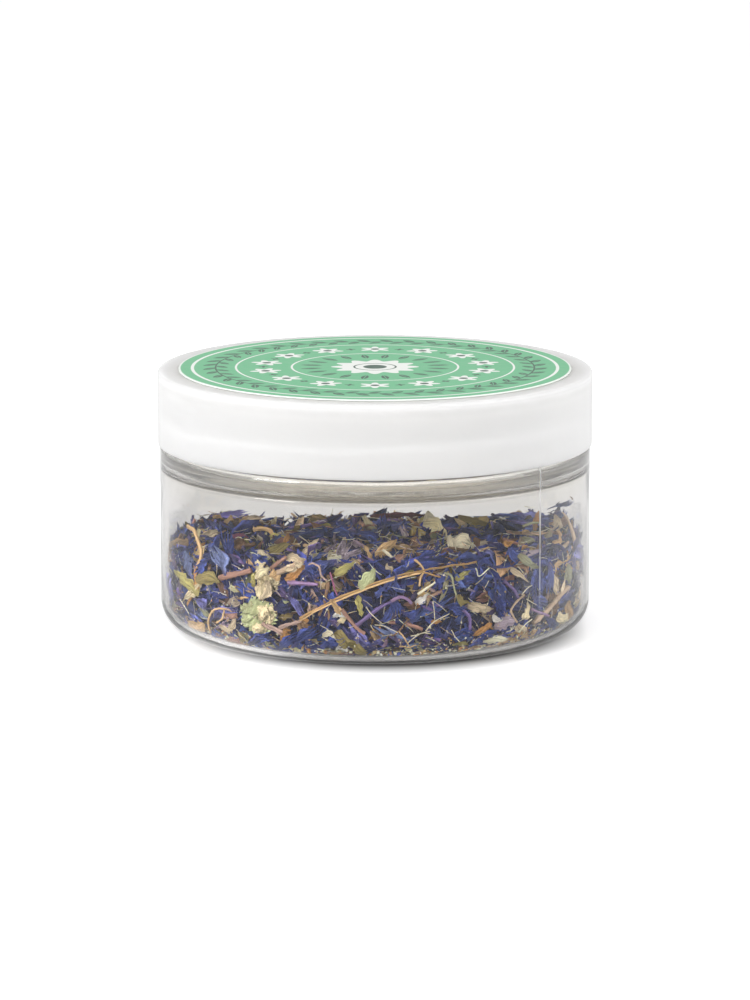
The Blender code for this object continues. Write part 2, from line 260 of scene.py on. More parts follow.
def jarOutline():
    j = jarForm
    outside = [(0, j["recess"]), (j["ring"] - 1.5, j["recess"]), (j["ring"], 0)]
    outside += arc(j["radius"] - j["corner"], j["corner"], j["corner"], -90, 0, 14)
    bend = j["shoulderRound"]
    outside += arc(j["radius"] - bend, j["shoulder"] - bend, bend, 0, 90, 8)
    outside.append((j["neck"], j["shoulder"]))
    bend = j["rimRound"]
    outside += straight((j["neck"], j["shoulder"] + 0.2), (j["neck"], j["rim"] - bend - 0.1), 58)
    outside += arc(j["neck"] - bend, j["rim"] - bend, bend, 0, 90, 5)
    inside = arc(j["mouth"] + bend, j["rim"] - bend, bend, 90, 180, 5)
    inside += straight((j["mouth"], j["rim"] - 1.0), (j["mouth"], j["easeHigh"] + 0.3), 4)
    for i in range(17):
        share = i / 16
        radius = j["mouth"] + (j["inner"] - j["mouth"]) * (1 - math.cos(math.pi * share)) / 2
        inside.append((radius, j["easeHigh"] + (j["easeLow"] - j["easeHigh"]) * share))
    bend = j["floorCorner"]
    inside += arc(j["inner"] - bend, j["floor"] + bend, bend, 0, -90, 12)
    inside.append((0, j["floor"]))
    return withRests(outside, 0.25) + withRests(inside, 0.25)


def clearPlastic():
    look = jarLook
    material, tree, shader = newMaterial("clearPlastic")
    where = place(tree)
    x, y, z = put(tree, "SeparateXYZ", {0: where}).outputs

    def rising(low, high, start=0.0, end=1.0):
        return between(tree, z, low * mm, high * mm, start, end)

    def alongTurn(turn):
        aim = (math.cos(turn), math.sin(turn), 0)
        return put(tree, "VectorMath", {0: where, 1: aim}, operation="DOT_PRODUCT").outputs["Value"]

    wide = noise(tree, where, 45, 2)
    fine = noise(tree, where, 900, 2)
    # Painted light: the shoulder is tinted warmer and lighter. Painted shade: the wall is tinted darker at its left
    # and right below the shoulder, and in a band low on the shoulder.
    tint = mixColour(tree, rising(32.5, 36.8), ramp(tree, wide, look["tint"]), look["shoulderPaintedLight"])
    sides = times(tree, between(tree, calc(tree, "ABSOLUTE", x), 14 * mm, 32 * mm), rising(29.2, 33.2))
    tint = mixColour(tree, sides, tint, look["sidePaintedShade"])
    band = times(tree, rising(33.4, 34.2), rising(35.2, 36.0, 1, 0))
    tint = mixColour(tree, band, tint, look["bandPaintedShade"])
    # The mould line is on the outside of the wall: a real seam, painted lighter and hazier as a painted glint, plain
    # on its own side, faint on the other and fainter low down.
    turn = math.radians(look["seamAngle"])
    away = calc(tree, "ABSOLUTE", alongTurn(turn + math.pi / 2))
    seam = between(tree, away, look["seamWidth"] * mm, look["seamFade"] * mm, 1, 0)
    radius = calc(tree, "SQRT", calc(tree, "ADD", times(tree, x, x), times(tree, y, y)))
    seam = times(
        tree, seam, between(tree, radius, 0.0449, 0.0452), rising(6, 16, 0.3, 1.0),
        between(tree, alongTurn(turn), -0.01, 0.01, 0.25, 1.0),
    )
    feed(tree, shader, "Base Color", mixColour(tree, seam, tint, look["seamWithPaintedGlint"]))
    roughness = calc(tree, "ADD", between(tree, fine, 0.35, 0.75, 0.008, 0.03), times(tree, seam, 0.3))
    feed(tree, shader, "Roughness", roughness)
    haze = calc(tree, "ADD", times(tree, seam, look["seamHaze"]), rising(35.2, 36.8, 0.0, look["shoulderHaze"]))
    feed(tree, shader, "Transmission Weight", calc(tree, "SUBTRACT", 1.0, haze))
    shader.inputs["IOR"].default_value = 1.5
    bump(tree, shader, calc(tree, "ADD", times(tree, wide, 0.35), times(tree, seam, 0.15)), 0.0003)
    # Less light gets down through the thick bent edge of the base.
    shade = mixColour(tree, rising(1, 7), look["baseShade"], tint)
    through = put(tree, "BsdfTransparent", {"Color": shade}).outputs[0]
    shadow = put(tree, "LightPath", {}).outputs["Is Shadow Ray"]
    both = put(tree, "MixShader", {0: shadow, 1: shader.outputs[0], 2: through})
    tree.links.new(both.outputs[0], tree.nodes["Material Output"].inputs["Surface"])
    return material


jarMesh = turned("jarWall", jarOutline(), jarForm["steps"])
raiseThread(jarMesh, jarThread)
jarWall = addPiece("jarWall", jarMesh, "jar", clearPlastic())
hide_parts("jar")
print("jar wall made")


# The lid: smooth white screw lid with a foam liner under its roof.

lidForm = {
    "radius": 46.0,
    "edge": 39.3,
    "top": 54.9,
    "inner": 44.75,
    "roof": 53.5,
    "round": 0.8,
    "edgeRound": 0.18,
    "steps": 240,
}
lidThread = {
    "wall": lidForm["inner"], "height": -1.3, "start": 41.55, "lead": 5.08,
    "turn": 350, "runOut": 25, "foot": 0.85, "crest": 0.4,
}
lidLook = {
    "tint": [(0.3, (0.80, 0.80, 0.80)), (0.7, (0.83, 0.828, 0.825))],
    # Painted shade by height over the rounded top edge and the roof:
    "shades": [(51.5, 53.6, 0.87), (53.6, 54.1, 0.86), (54.7, 54.89, 1.1)],  # from, to, share
    "spread": 0.008,
}


def lidOutline():
    d = lidForm
    inside = [(0, d["roof"])] + arc(d["inner"] - 0.6, d["roof"] - 0.6, 0.6, 90, 0, 5)
    bend = d["edgeRound"]
    inside += straight((d["inner"], d["roof"] - 0.8), (d["inner"], d["edge"] + bend + 0.1), 60)
    outside = arc(d["inner"] + bend, d["edge"] + bend, bend, 180, 270, 5)
    outside += arc(d["radius"] - bend, d["edge"] + bend, bend, 270, 360, 5)
    bend = d["round"]
    outside += arc(d["radius"] - bend, d["top"] - bend, bend, 0, 90, 14)
    outside.append((0, d["top"]))
    return withRests(inside, 0.3) + withRests(outside, 0.3)


def whitePlastic():
    look = lidLook
    material, tree, shader = newMaterial("whitePlastic")
    where = place(tree)
    wide = noise(tree, where, 30, 2)
    fine = noise(tree, where, 1500, 3)
    # Painted shade: the colour is darker where the surface turns away from view, and by height over the rounded top
    # edge and the roof.
    height = put(tree, "SeparateXYZ", {0: where}).outputs[2]
    shade = between(tree, put(tree, "LayerWeight", {}).outputs["Facing"], 0.8, 0.97, 1.0, 0.84)
    for low, high, share in look["shades"]:
        shade = times(tree, shade, between(tree, height, low * mm, high * mm, 1.0, share))
    feed(tree, shader, "Base Color", dimmed(tree, ramp(tree, wide, look["tint"]), shade))
    feed(tree, shader, "Roughness", between(tree, fine, 0.3, 0.7, 0.34, 0.44, "LINEAR"))
    shader.inputs["IOR"].default_value = 1.49
    shader.inputs["Subsurface Weight"].default_value = 1.0
    shader.inputs["Subsurface Radius"].default_value = (1, 1, 1)
    shader.inputs["Subsurface Scale"].default_value = look["spread"]
    bump(tree, shader, calc(tree, "ADD", times(tree, fine, 0.02), times(tree, wide, 0.3)), 0.0002)
    return material


lidMesh = turned("lidShell", lidOutline(), lidForm["steps"])
raiseThread(lidMesh, lidThread)
lidShell = addPiece("lidShell", lidMesh, "lid", whitePlastic())
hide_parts("lid")


def linerFoam():
    material, tree, shader = newMaterial("linerFoam")
    where = place(tree)
    cells = put(tree, "TexVoronoi", {"Vector": where, "Scale": 2200.0}, feature="F1").outputs["Distance"]
    wide = noise(tree, where, 120, 3)
    feed(tree, shader, "Base Color", ramp(tree, wide, [(0.3, (0.86, 0.81, 0.70)), (0.7, (0.90, 0.85, 0.74))]))
    feed(tree, shader, "Roughness", between(tree, wide, 0.3, 0.7, 0.6, 0.8, "LINEAR"))
    bump(tree, shader, cells, 0.0001, 0.6)
    # Painted light: the liner glows a little, for the light that soaks through the lid from above.
    shader.inputs["Emission Color"].default_value = (1, 0.93, 0.8, 1)
    shader.inputs["Emission Strength"].default_value = 0.18
    return material


linerOutline = withRests([(0, 52.3), (43.7, 52.3), (43.9, 52.45), (43.9, 53.05), (43.7, 53.2), (0, 53.2)], 0.2)
liner = addPiece("foamLiner", turned("foamLiner", linerOutline, 160), "liner", linerFoam())
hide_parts("liner")
print("lid and liner made")


# The label: mint paper with a pale edge, a wreath, a ring of small blossoms and a rosette, all of a plain kind.

labelPrint = {
    "mint": ((0.135, 0.455, 0.237), (0.146, 0.475, 0.249)),
    "ink": (0.045, 0.10, 0.07),
    "white": (0.80, 0.82, 0.78),
    "edge": (0.78, 0.83, 0.78),
    # Leaves: how many, radius, half length, half width, lean, shift.
    "wreath": [(44, 35.0, 2.2, 0.85, 0.75, 0.0), (44, 32.4, 2.0, 0.75, -0.75, 0.0714)],
    "rays": (20, 13.6, 2.6, 0.8, math.pi / 2),
    # Rings: radius, half width.
    "whiteRings": [(38.6, 0.28), (29.4, 0.16), (17.6, 0.16)],
    "inkRings": [(33.7, 0.12), (4.4, 0.14)],
    # Blossoms: how many, radius, reach, petals, how deep they are cut, shift.
    "blossoms": (14, 23.6, 3.4, 6, 0.24),
    "buds": (14, 23.6, 1.1, 4, 0.3, math.pi / 14),
    "hearts": ((0.85, 1.0), (2.4, 2.6)),  # of a blossom and of the rosette
    "rosette": (12, 8.2, 1.1),  # petals, reach, depth
    "edgeStart": (41.0, 41.2),
}


def labelPaper():
    prints = labelPrint
    material, tree, shader = newMaterial("labelPaper")
    where = place(tree)
    flat = put(tree, "SeparateXYZ", {0: where})
    x = calc(tree, "DIVIDE", flat.outputs[0], mm)
    y = calc(tree, "DIVIDE", flat.outputs[1], mm)
    radius = calc(tree, "SQRT", calc(tree, "ADD", times(tree, x, x), times(tree, y, y)))
    turn = calc(tree, "ARCTAN2", y, x)

    def ring(middle, half):
        away = calc(tree, "ABSOLUTE", calc(tree, "SUBTRACT", radius, middle))
        return between(tree, away, half, half + 0.12, 1, 0)

    def repeated(count, middle, shift):
        # Each motif of a ring is read in its own small frame: across the ring and out along it.
        step = math.tau / count
        share = calc(tree, "FRACT", calc(tree, "DIVIDE", calc(tree, "ADD", turn, shift + math.tau), step))
        side = times(tree, calc(tree, "SUBTRACT", share, 0.5), step, radius)
        return side, calc(tree, "SUBTRACT", radius, middle)

    def blossoms(count, middle, reach, petals, deep, shift=0.0):
        side, out = repeated(count, middle, shift)
        own = calc(tree, "SQRT", calc(tree, "ADD", times(tree, side, side), times(tree, out, out)))
        wave = calc(tree, "COSINE", times(tree, calc(tree, "ARCTAN2", side, out), float(petals)))
        edge = calc(tree, "ADD", times(tree, wave, deep * reach), reach * (1 - deep))
        return between(tree, calc(tree, "SUBTRACT", edge, own), -0.08, 0.12), own

    def leaves(count, middle, long, wide, lean, shift=0.0):
        side, out = repeated(count, middle, shift)
        sin, cos = math.sin(lean), math.cos(lean)
        alongLeaf = calc(tree, "ADD", times(tree, side, cos), times(tree, out, sin))
        acrossLeaf = calc(tree, "SUBTRACT", times(tree, out, cos), times(tree, side, sin))
        acrossLeaf = calc(tree, "ABSOLUTE", acrossLeaf)
        bend = calc(tree, "SUBTRACT", 1.0, calc(tree, "POWER", calc(tree, "DIVIDE", alongLeaf, long), 2.0))
        inside = calc(tree, "SUBTRACT", times(tree, bend, wide), acrossLeaf)
        return times(tree, between(tree, inside, -0.05, 0.1), between(tree, acrossLeaf, 0.05, 0.14))

    fibres = noise(tree, where, 700, 5, 0.6)
    wide = noise(tree, where, 60, 2)
    flecks = ramp(tree, fibres, [(0.3, (0.96, 0.96, 0.96)), (0.7, (1.03, 1.03, 1.03))])
    colour = mixColour(tree, 1.0, mixColour(tree, wide, *prints["mint"]), flecks, "MULTIPLY")
    flower, ownRadius = blossoms(*prints["blossoms"])
    count, reach, deep = prints["rosette"]
    wave = times(tree, calc(tree, "COSINE", times(tree, turn, float(count))), deep)
    rosette = calc(tree, "SUBTRACT", calc(tree, "ADD", wave, reach), radius)
    whiteParts = [ring(*sizes) for sizes in prints["whiteRings"]] + [flower, between(tree, rosette, -0.1, 0.1)]
    inkParts = [leaves(*sizes) for sizes in prints["wreath"] + [prints["rays"]]]
    inkParts += [ring(*sizes) for sizes in prints["inkRings"]]
    inkParts.append(blossoms(*prints["buds"])[0])
    inkParts += [between(tree, reach, *size, 1, 0) for reach, size in zip((ownRadius, radius), prints["hearts"])]
    for part in whiteParts:
        colour = mixColour(tree, part, colour, prints["white"])
    for part in inkParts:
        colour = mixColour(tree, part, colour, prints["ink"])
    colour = mixColour(tree, between(tree, radius, *prints["edgeStart"]), colour, prints["edge"])
    feed(tree, shader, "Base Color", colour)
    feed(tree, shader, "Roughness", between(tree, fibres, 0.3, 0.7, 0.42, 0.55, "LINEAR"))
    bump(tree, shader, fibres, 0.00003, 0.5)
    return material


labelOutline = withRests([(0, 54.93), (41.44, 54.93), (41.5, 54.99), (41.5, 55.12), (41.42, 55.2), (0, 55.2)], 0.1)
label = addPiece("roundLabel", turned("roundLabel", labelOutline, 200), "lid", labelPaper())
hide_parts("label")
print("label made")


# The dried flowers. Every kind of piece is one small template, bent afresh for each copy.

bedForm = {
    "wall": 44.65,
    "lines": 43.9,  # where angles on the wall are turned into lengths
    "floor": 1.3,
    "corner": 40.0,
    "cornerRise": 5.95,
    "cornerRound": 4.65,
    "height": 18.9,
    "slope": -0.085,
    # Each hump: x, y, rise, spread.
    "humps": [(-34, 14, 3.3, 8), (37, 12, 4.2, 9), (-8, 26, 1.2, 7), (14, -30, 0.8, 9), (2, -6, -1.0, 9)],
    "soft": 0.45,
}

tints = {
    "navy": (0.022, 0.030, 0.11),
    "deepBlue": (0.038, 0.060, 0.26),
    "blue": (0.056, 0.086, 0.34),
    "brightBlue": (0.10, 0.145, 0.47),
    "violetBlue": (0.19, 0.19, 0.54),
    "greyBlue": (0.14, 0.18, 0.37),
    "violet": (0.17, 0.12, 0.32),
    "violetPink": (0.30, 0.19, 0.37),
    "rose": (0.32, 0.10, 0.20),
    "paleRose": (0.50, 0.35, 0.30),
    "roseBrown": (0.36, 0.20, 0.15),
    "mauveGrey": (0.46, 0.38, 0.46),
    "tan": (0.72, 0.48, 0.24),
    "orangeTan": (0.68, 0.35, 0.12),
    "goldTan": (0.43, 0.26, 0.10),
    "maroon": (0.12, 0.02, 0.035),
    "brown": (0.22, 0.125, 0.065),
    "paleBrown": (0.56, 0.41, 0.28),
    "beige": (0.78, 0.64, 0.44),
    "pale": (0.97, 0.83, 0.53),
    "cream": (1.0, 0.92, 0.68),
    "white": (0.96, 0.93, 0.88),
    "olive": (0.34, 0.28, 0.10),
    "limeOlive": (0.52, 0.47, 0.16),
    "paleGreen": (0.55, 0.60, 0.33),
    "greyGreen": (0.36, 0.37, 0.23),
}


def heapHeight(x, y):
    high = bedForm["height"] + bedForm["slope"] * y
    for humpX, humpY, rise, width in bedForm["humps"]:
        high = high + rise * np.exp(-((x - humpX) ** 2 + (y - humpY) ** 2) / (2 * width**2))
    return high + 0.5 * np.sin(x * 0.31 + 1.3) * np.cos(y * 0.27) + 0.35 * np.sin(x * 0.63 - y * 0.51)


def keptInside(points, wallGap):
    # Eases whatever would pass the jar's wall, its rounded corner or its floor back in.
    points[..., 2] = np.maximum(points[..., 2], bedForm["floor"] + 0.15 * wallGap)
    radius = np.hypot(points[..., 0], points[..., 1])
    down = np.clip(bedForm["cornerRise"] - points[..., 2], 0, bedForm["cornerRound"] - 0.02)
    limit = np.where(down > 0, bedForm["corner"] + np.sqrt(bedForm["cornerRound"] ** 2 - down**2), bedForm["wall"])
    soft = bedForm["soft"]
    limit = limit - wallGap
    over = radius - (limit - soft)
    eased = np.where(over > 0, limit - soft * np.exp(-np.maximum(over, 0) / soft), radius)
    points[..., :2] *= (eased / np.maximum(radius, 1e-6))[..., None]
    return points


def upWall(height):
    # How far a height lies along the inside of the jar, from where its corner ends. Below that it is negative.
    drop = np.clip((bedForm["cornerRise"] - height) / bedForm["cornerRound"], 0, 1)
    return np.where(drop > 0, -bedForm["cornerRound"] * np.arcsin(drop), height - bedForm["cornerRise"])


def onWall(turn, along, out):
    # Follows the inside of the jar: down its wall, round its corner and in over its floor.
    down = np.clip(-along / bedForm["cornerRound"], 0, math.pi / 2)
    past = np.maximum(-along - bedForm["cornerRound"] * math.pi / 2, 0)
    reach = bedForm["cornerRound"] + out
    radius = bedForm["corner"] + reach * np.cos(down) - past
    height = bedForm["cornerRise"] - reach * np.sin(down) + np.maximum(along, 0)
    return np.stack([radius * np.cos(turn), radius * np.sin(turn), height], axis=-1)


def flatPoints(shape):
    shape.verts.index_update()
    return np.array([vert.co[:] for vert in shape.verts])


def asTemplate(shape, points, across, along):
    loops = np.array([vert.index for face in shape.faces for vert in face.verts])
    sizes = np.array([len(face.verts) for face in shape.faces])
    shape.free()
    return {"points": points, "loops": loops, "sizes": sizes, "uv": np.stack([across, along], axis=1)}


def sheetTemplate(across, along, outline, pleat, notch):
    # A flat sheet a unit long and a unit wide. With a notch its far end is cut into a tooth for every second column.
    shape = bmesh.new()
    bmesh.ops.create_grid(shape, x_segments=across, y_segments=along, size=0.5)
    flat = flatPoints(shape)
    x, y = flat[:, 0], flat[:, 1] + 0.5
    tooth = np.rint((x + 0.5) * across).astype(int) % 2
    cut = y * (1 - notch * (1 - tooth) * y)
    places, widths = zip(*outline)
    raised = pleat * (tooth - 0.5) * (0.35 + 0.65 * y)
    template = asTemplate(shape, np.stack([x * np.interp(y, places, widths), cut, raised], axis=1), x + 0.5, y)
    template["edges"] = 2 * np.rint(y * along).astype(int) + (x > 0)
    return template


def tubeTemplate(sides, rings, taper):
    shape = bmesh.new()
    bmesh.ops.create_cone(
        shape, cap_ends=True, cap_tris=False, segments=sides, radius1=0.5, radius2=0.5 * taper, depth=1
    )
    for ring in range(1, rings):
        everything = shape.verts[:] + shape.edges[:] + shape.faces[:]
        bmesh.ops.bisect_plane(shape, geom=everything, plane_co=(0, 0, ring / rings - 0.5), plane_no=(0, 0, 1))
    flat = flatPoints(shape)
    around = np.arctan2(flat[:, 1], flat[:, 0]) / math.tau + 0.5
    template = asTemplate(shape, flat[:, [0, 2, 1]] + (0, 0.5, 0), around, flat[:, 2] + 0.5)
    template["edges"] = np.rint((flat[:, 2] + 0.5) * rings).astype(int)
    return template


def starTemplate():
    # A floret's narrow tube that opens into five pointed lobes.
    shape = bmesh.new()
    bmesh.ops.create_circle(shape, segments=10, radius=0.05)

    def grow(edges, move):
        made = bmesh.ops.extrude_edge_only(shape, edges=edges)["geom"]
        fresh = [item for item in made if isinstance(item, bmesh.types.BMVert)]
        for vert in fresh:
            vert.co = move(vert.co)
        grown = [item for item in made if isinstance(item, bmesh.types.BMEdge)]
        return [edge for edge in grown if all(vert in fresh for vert in edge.verts)]

    def facing(edge):
        first, second = (vert.co for vert in edge.verts)
        return math.atan2(first.y + second.y, first.x + second.x)

    rim = shape.edges[:]
    for radius, height in ((0.055, 0.25), (0.07, 0.45), (0.17, 0.55)):
        rim = grow(rim, lambda co: Vector((co.x, co.y, 0)).normalized() * radius + Vector((0, 0, height)))
    rim.sort(key=facing)
    for edge in rim[::2]:
        out = Vector((math.cos(facing(edge)), math.sin(facing(edge)), 0))
        side = Vector((-out.y, out.x, 0))
        lobe = [edge]
        for reach, half, height in ((0.30, 0.055, 0.64), (0.42, 0.035, 0.70), (0.55, 0.004, 0.70)):
            middle = out * reach + Vector((0, 0, height))
            lobe = grow(lobe, lambda co: middle + side * math.copysign(half, side.dot(co)))
    flat = flatPoints(shape)
    around = np.arctan2(flat[:, 1], flat[:, 0]) / math.tau + 0.5
    reach = np.hypot(flat[:, 0], flat[:, 1])
    return asTemplate(shape, flat[:, [0, 2, 1]], around * 3, np.clip(0.6 * flat[:, 2] + reach, 0, 1))


def crumbTemplate():
    shape = bmesh.new()
    bmesh.ops.create_icosphere(shape, subdivisions=1, radius=0.5)
    flat = flatPoints(shape)
    return asTemplate(shape, flat, flat[:, 0] + 0.5, flat[:, 1] + 0.5)


petalOutline = [(0, 0.16), (0.2, 0.3), (0.45, 0.72), (0.7, 1.0), (1, 0.9)]
slimOutline = [(0, 0.25), (0.3, 0.7), (0.6, 1.0), (1, 0.7)]
bractOutline = [(0, 0.45), (0.15, 0.75), (0.4, 1.0), (0.65, 0.86), (0.85, 0.5), (1, 0.06)]
templates = {
    "petal": sheetTemplate(6, 6, petalOutline, 0.30, 0.34),
    "slimPetal": sheetTemplate(4, 6, slimOutline, 0.34, 0.30),
    "bract": sheetTemplate(4, 5, bractOutline, 0.06, 0.0),
    "stalk": tubeTemplate(6, 6, 0.8),
    "hair": tubeTemplate(3, 4, 0.5),
    "star": starTemplate(),
    "crumb": crumbTemplate(),
    "finePetal": sheetTemplate(8, 14, petalOutline, 0.26, 0.36),
    "fineBract": sheetTemplate(8, 12, bractOutline, 0.05, 0.0),
    "fineStalk": tubeTemplate(9, 22, 0.85),
    "fineHair": tubeTemplate(4, 12, 0.6),
}


def spun(points, axis, angle):
    # Turns every copy by its own angle about a local axis.
    first, second = [i for i in range(3) if i != axis]
    sin, cos = np.sin(angle), np.cos(angle)
    turnedPoints = points.copy()
    turnedPoints[..., first] = points[..., first] * cos - points[..., second] * sin
    turnedPoints[..., second] = points[..., first] * sin + points[..., second] * cos
    return turnedPoints


def crumpled(points, draw, amount, size):
    # Pushes each copy about by a few slow waves of its own.
    for octave in (1.0, 0.5, 0.25):
        wave = draw.normal(size=(len(points), 1, 3))
        wave *= math.tau / (size * octave) / np.linalg.norm(wave, axis=-1, keepdims=True)
        push = draw.normal(size=(len(points), 1, 3)) * amount * octave
        phase = draw.uniform(0, math.tau, (len(points), 1))
        points = points + push * np.sin((points * wave).sum(-1) + phase)[..., None]
    return points


def raggedWidth(template, draw, count, amount):
    # Each row of a sheet is narrowed or widened a little on either side.
    across = np.repeat(template["points"][None, :, 0], count, axis=0)
    if "edges" in template:
        ragged = 1 + amount * draw.normal(size=(count, template["edges"].max() + 1))
        across = across * ragged[:, template["edges"]]
    return across


def bentCopies(template, draw, count, form):
    # Copies of a template, each rolled, twisted and bent by its own amount; x across, y along, z out.
    def pick(key, default=(0, 0)):
        low, high = form.get(key, default)
        return draw.uniform(low, high, (count, 1))

    def eitherWay(amount):
        return amount * draw.choice((-1, 1), (count, 1))

    flat = template["points"]
    length, width = pick("length"), pick("width")
    roll = eitherWay(pick("roll", (0.2, 0.4)) + 0.05)
    bend = eitherWay(pick("bend", (0.1, 0.3)) + 0.05)
    twist = eitherWay(pick("twist"))
    thick = form.get("thick", 1.0)
    turn = raggedWidth(template, draw, count, form.get("ragged", 0.13)) * roll
    tube = width / roll
    x = np.sin(turn) * (tube - flat[:, 2] * width * thick)
    z = tube - np.cos(turn) * (tube - flat[:, 2] * width * thick)
    share = flat[:, 1] - 0.5
    sway = eitherWay(pick("sway")) * length * (share * share * 4 - 0.3)
    sin, cos = np.sin(twist * share), np.cos(twist * share)
    x, z = x * cos - z * sin + sway, x * sin + z * cos
    hoop = length / bend
    y = np.sin(bend * share) * (hoop - z)
    z = hoop - np.cos(bend * share) * (hoop - z)
    points = np.stack([x, y, z], axis=-1)
    points -= points.mean(axis=1, keepdims=True)
    return crumpled(points, draw, form.get("crumple", 0.25), form.get("crumpleSize", 5.0))


evenSteps = (0.7548776662, 0.5698402910)


def spreadShares(count, start):
    # An even scatter over the unit square.
    steps = np.arange(count) + start
    return [(0.5 + steps * step) % 1 for step in evenSteps]


def mixedTints(draw, count, shares):
    names = list(shares)
    weights = np.array([shares[name] for name in names], float)
    picked = draw.choice(len(names), count, p=weights / weights.sum())
    colours = np.array([tints[name] for name in names])[picked]
    return colours * draw.uniform(0.5, 1.35, (count, 1)) * draw.uniform(0.9, 1.1, (count, 3))


def assembled(name, groups, material, draw):
    # One mesh of all the copies, each with its own patch of the pattern and its own tint.
    points, loops, sizes, uvs, colours = [], [], [], [], []
    start = 0
    for template, copies, tint in groups:
        count, size = copies.shape[:2]
        shift = (start + np.arange(count) * size)[:, None]
        points.append(copies.reshape(-1, 3) * mm)
        loops.append((template["loops"][None] + shift).ravel())
        sizes.append(np.tile(template["sizes"], count))
        whole = draw.integers(0, 60, (count, 1, 2))
        uvs.append((0.01 + 0.98 * np.clip(template["uv"][None], 0, 3) + whole).reshape(-1, 2))
        colours.append(np.repeat(tint, size, axis=0))
        start += count * size
    points, loops, sizes = np.concatenate(points), np.concatenate(loops), np.concatenate(sizes)
    mesh = bpy.data.meshes.new(name)
    mesh.vertices.add(len(points))
    mesh.vertices.foreach_set("co", points.astype(np.float32).ravel())
    mesh.loops.add(len(loops))
    mesh.loops.foreach_set("vertex_index", loops.astype(np.int32))
    mesh.polygons.add(len(sizes))
    mesh.polygons.foreach_set("loop_start", (np.cumsum(sizes) - sizes).astype(np.int32))
    mesh.polygons.foreach_set("use_smooth", np.ones(len(sizes), bool))
    mesh.update(calc_edges=True)
    uvLayer = mesh.uv_layers.new(name="UVMap")
    uvLayer.data.foreach_set("uv", np.concatenate(uvs)[loops].astype(np.float32).ravel())
    colours = np.insert(np.concatenate(colours), 3, 1.0, axis=1)
    tintLayer = mesh.attributes.new("tint", "FLOAT_COLOR", "POINT")
    tintLayer.data.foreach_set("color", np.clip(colours, 0, 1).astype(np.float32).ravel())
    print(name, len(sizes), "faces")
    return addPiece(name, mesh, "jar", material)
# The pieces that stand out against the wall: kind, tint, width and a line of (angle in degrees, height) points.

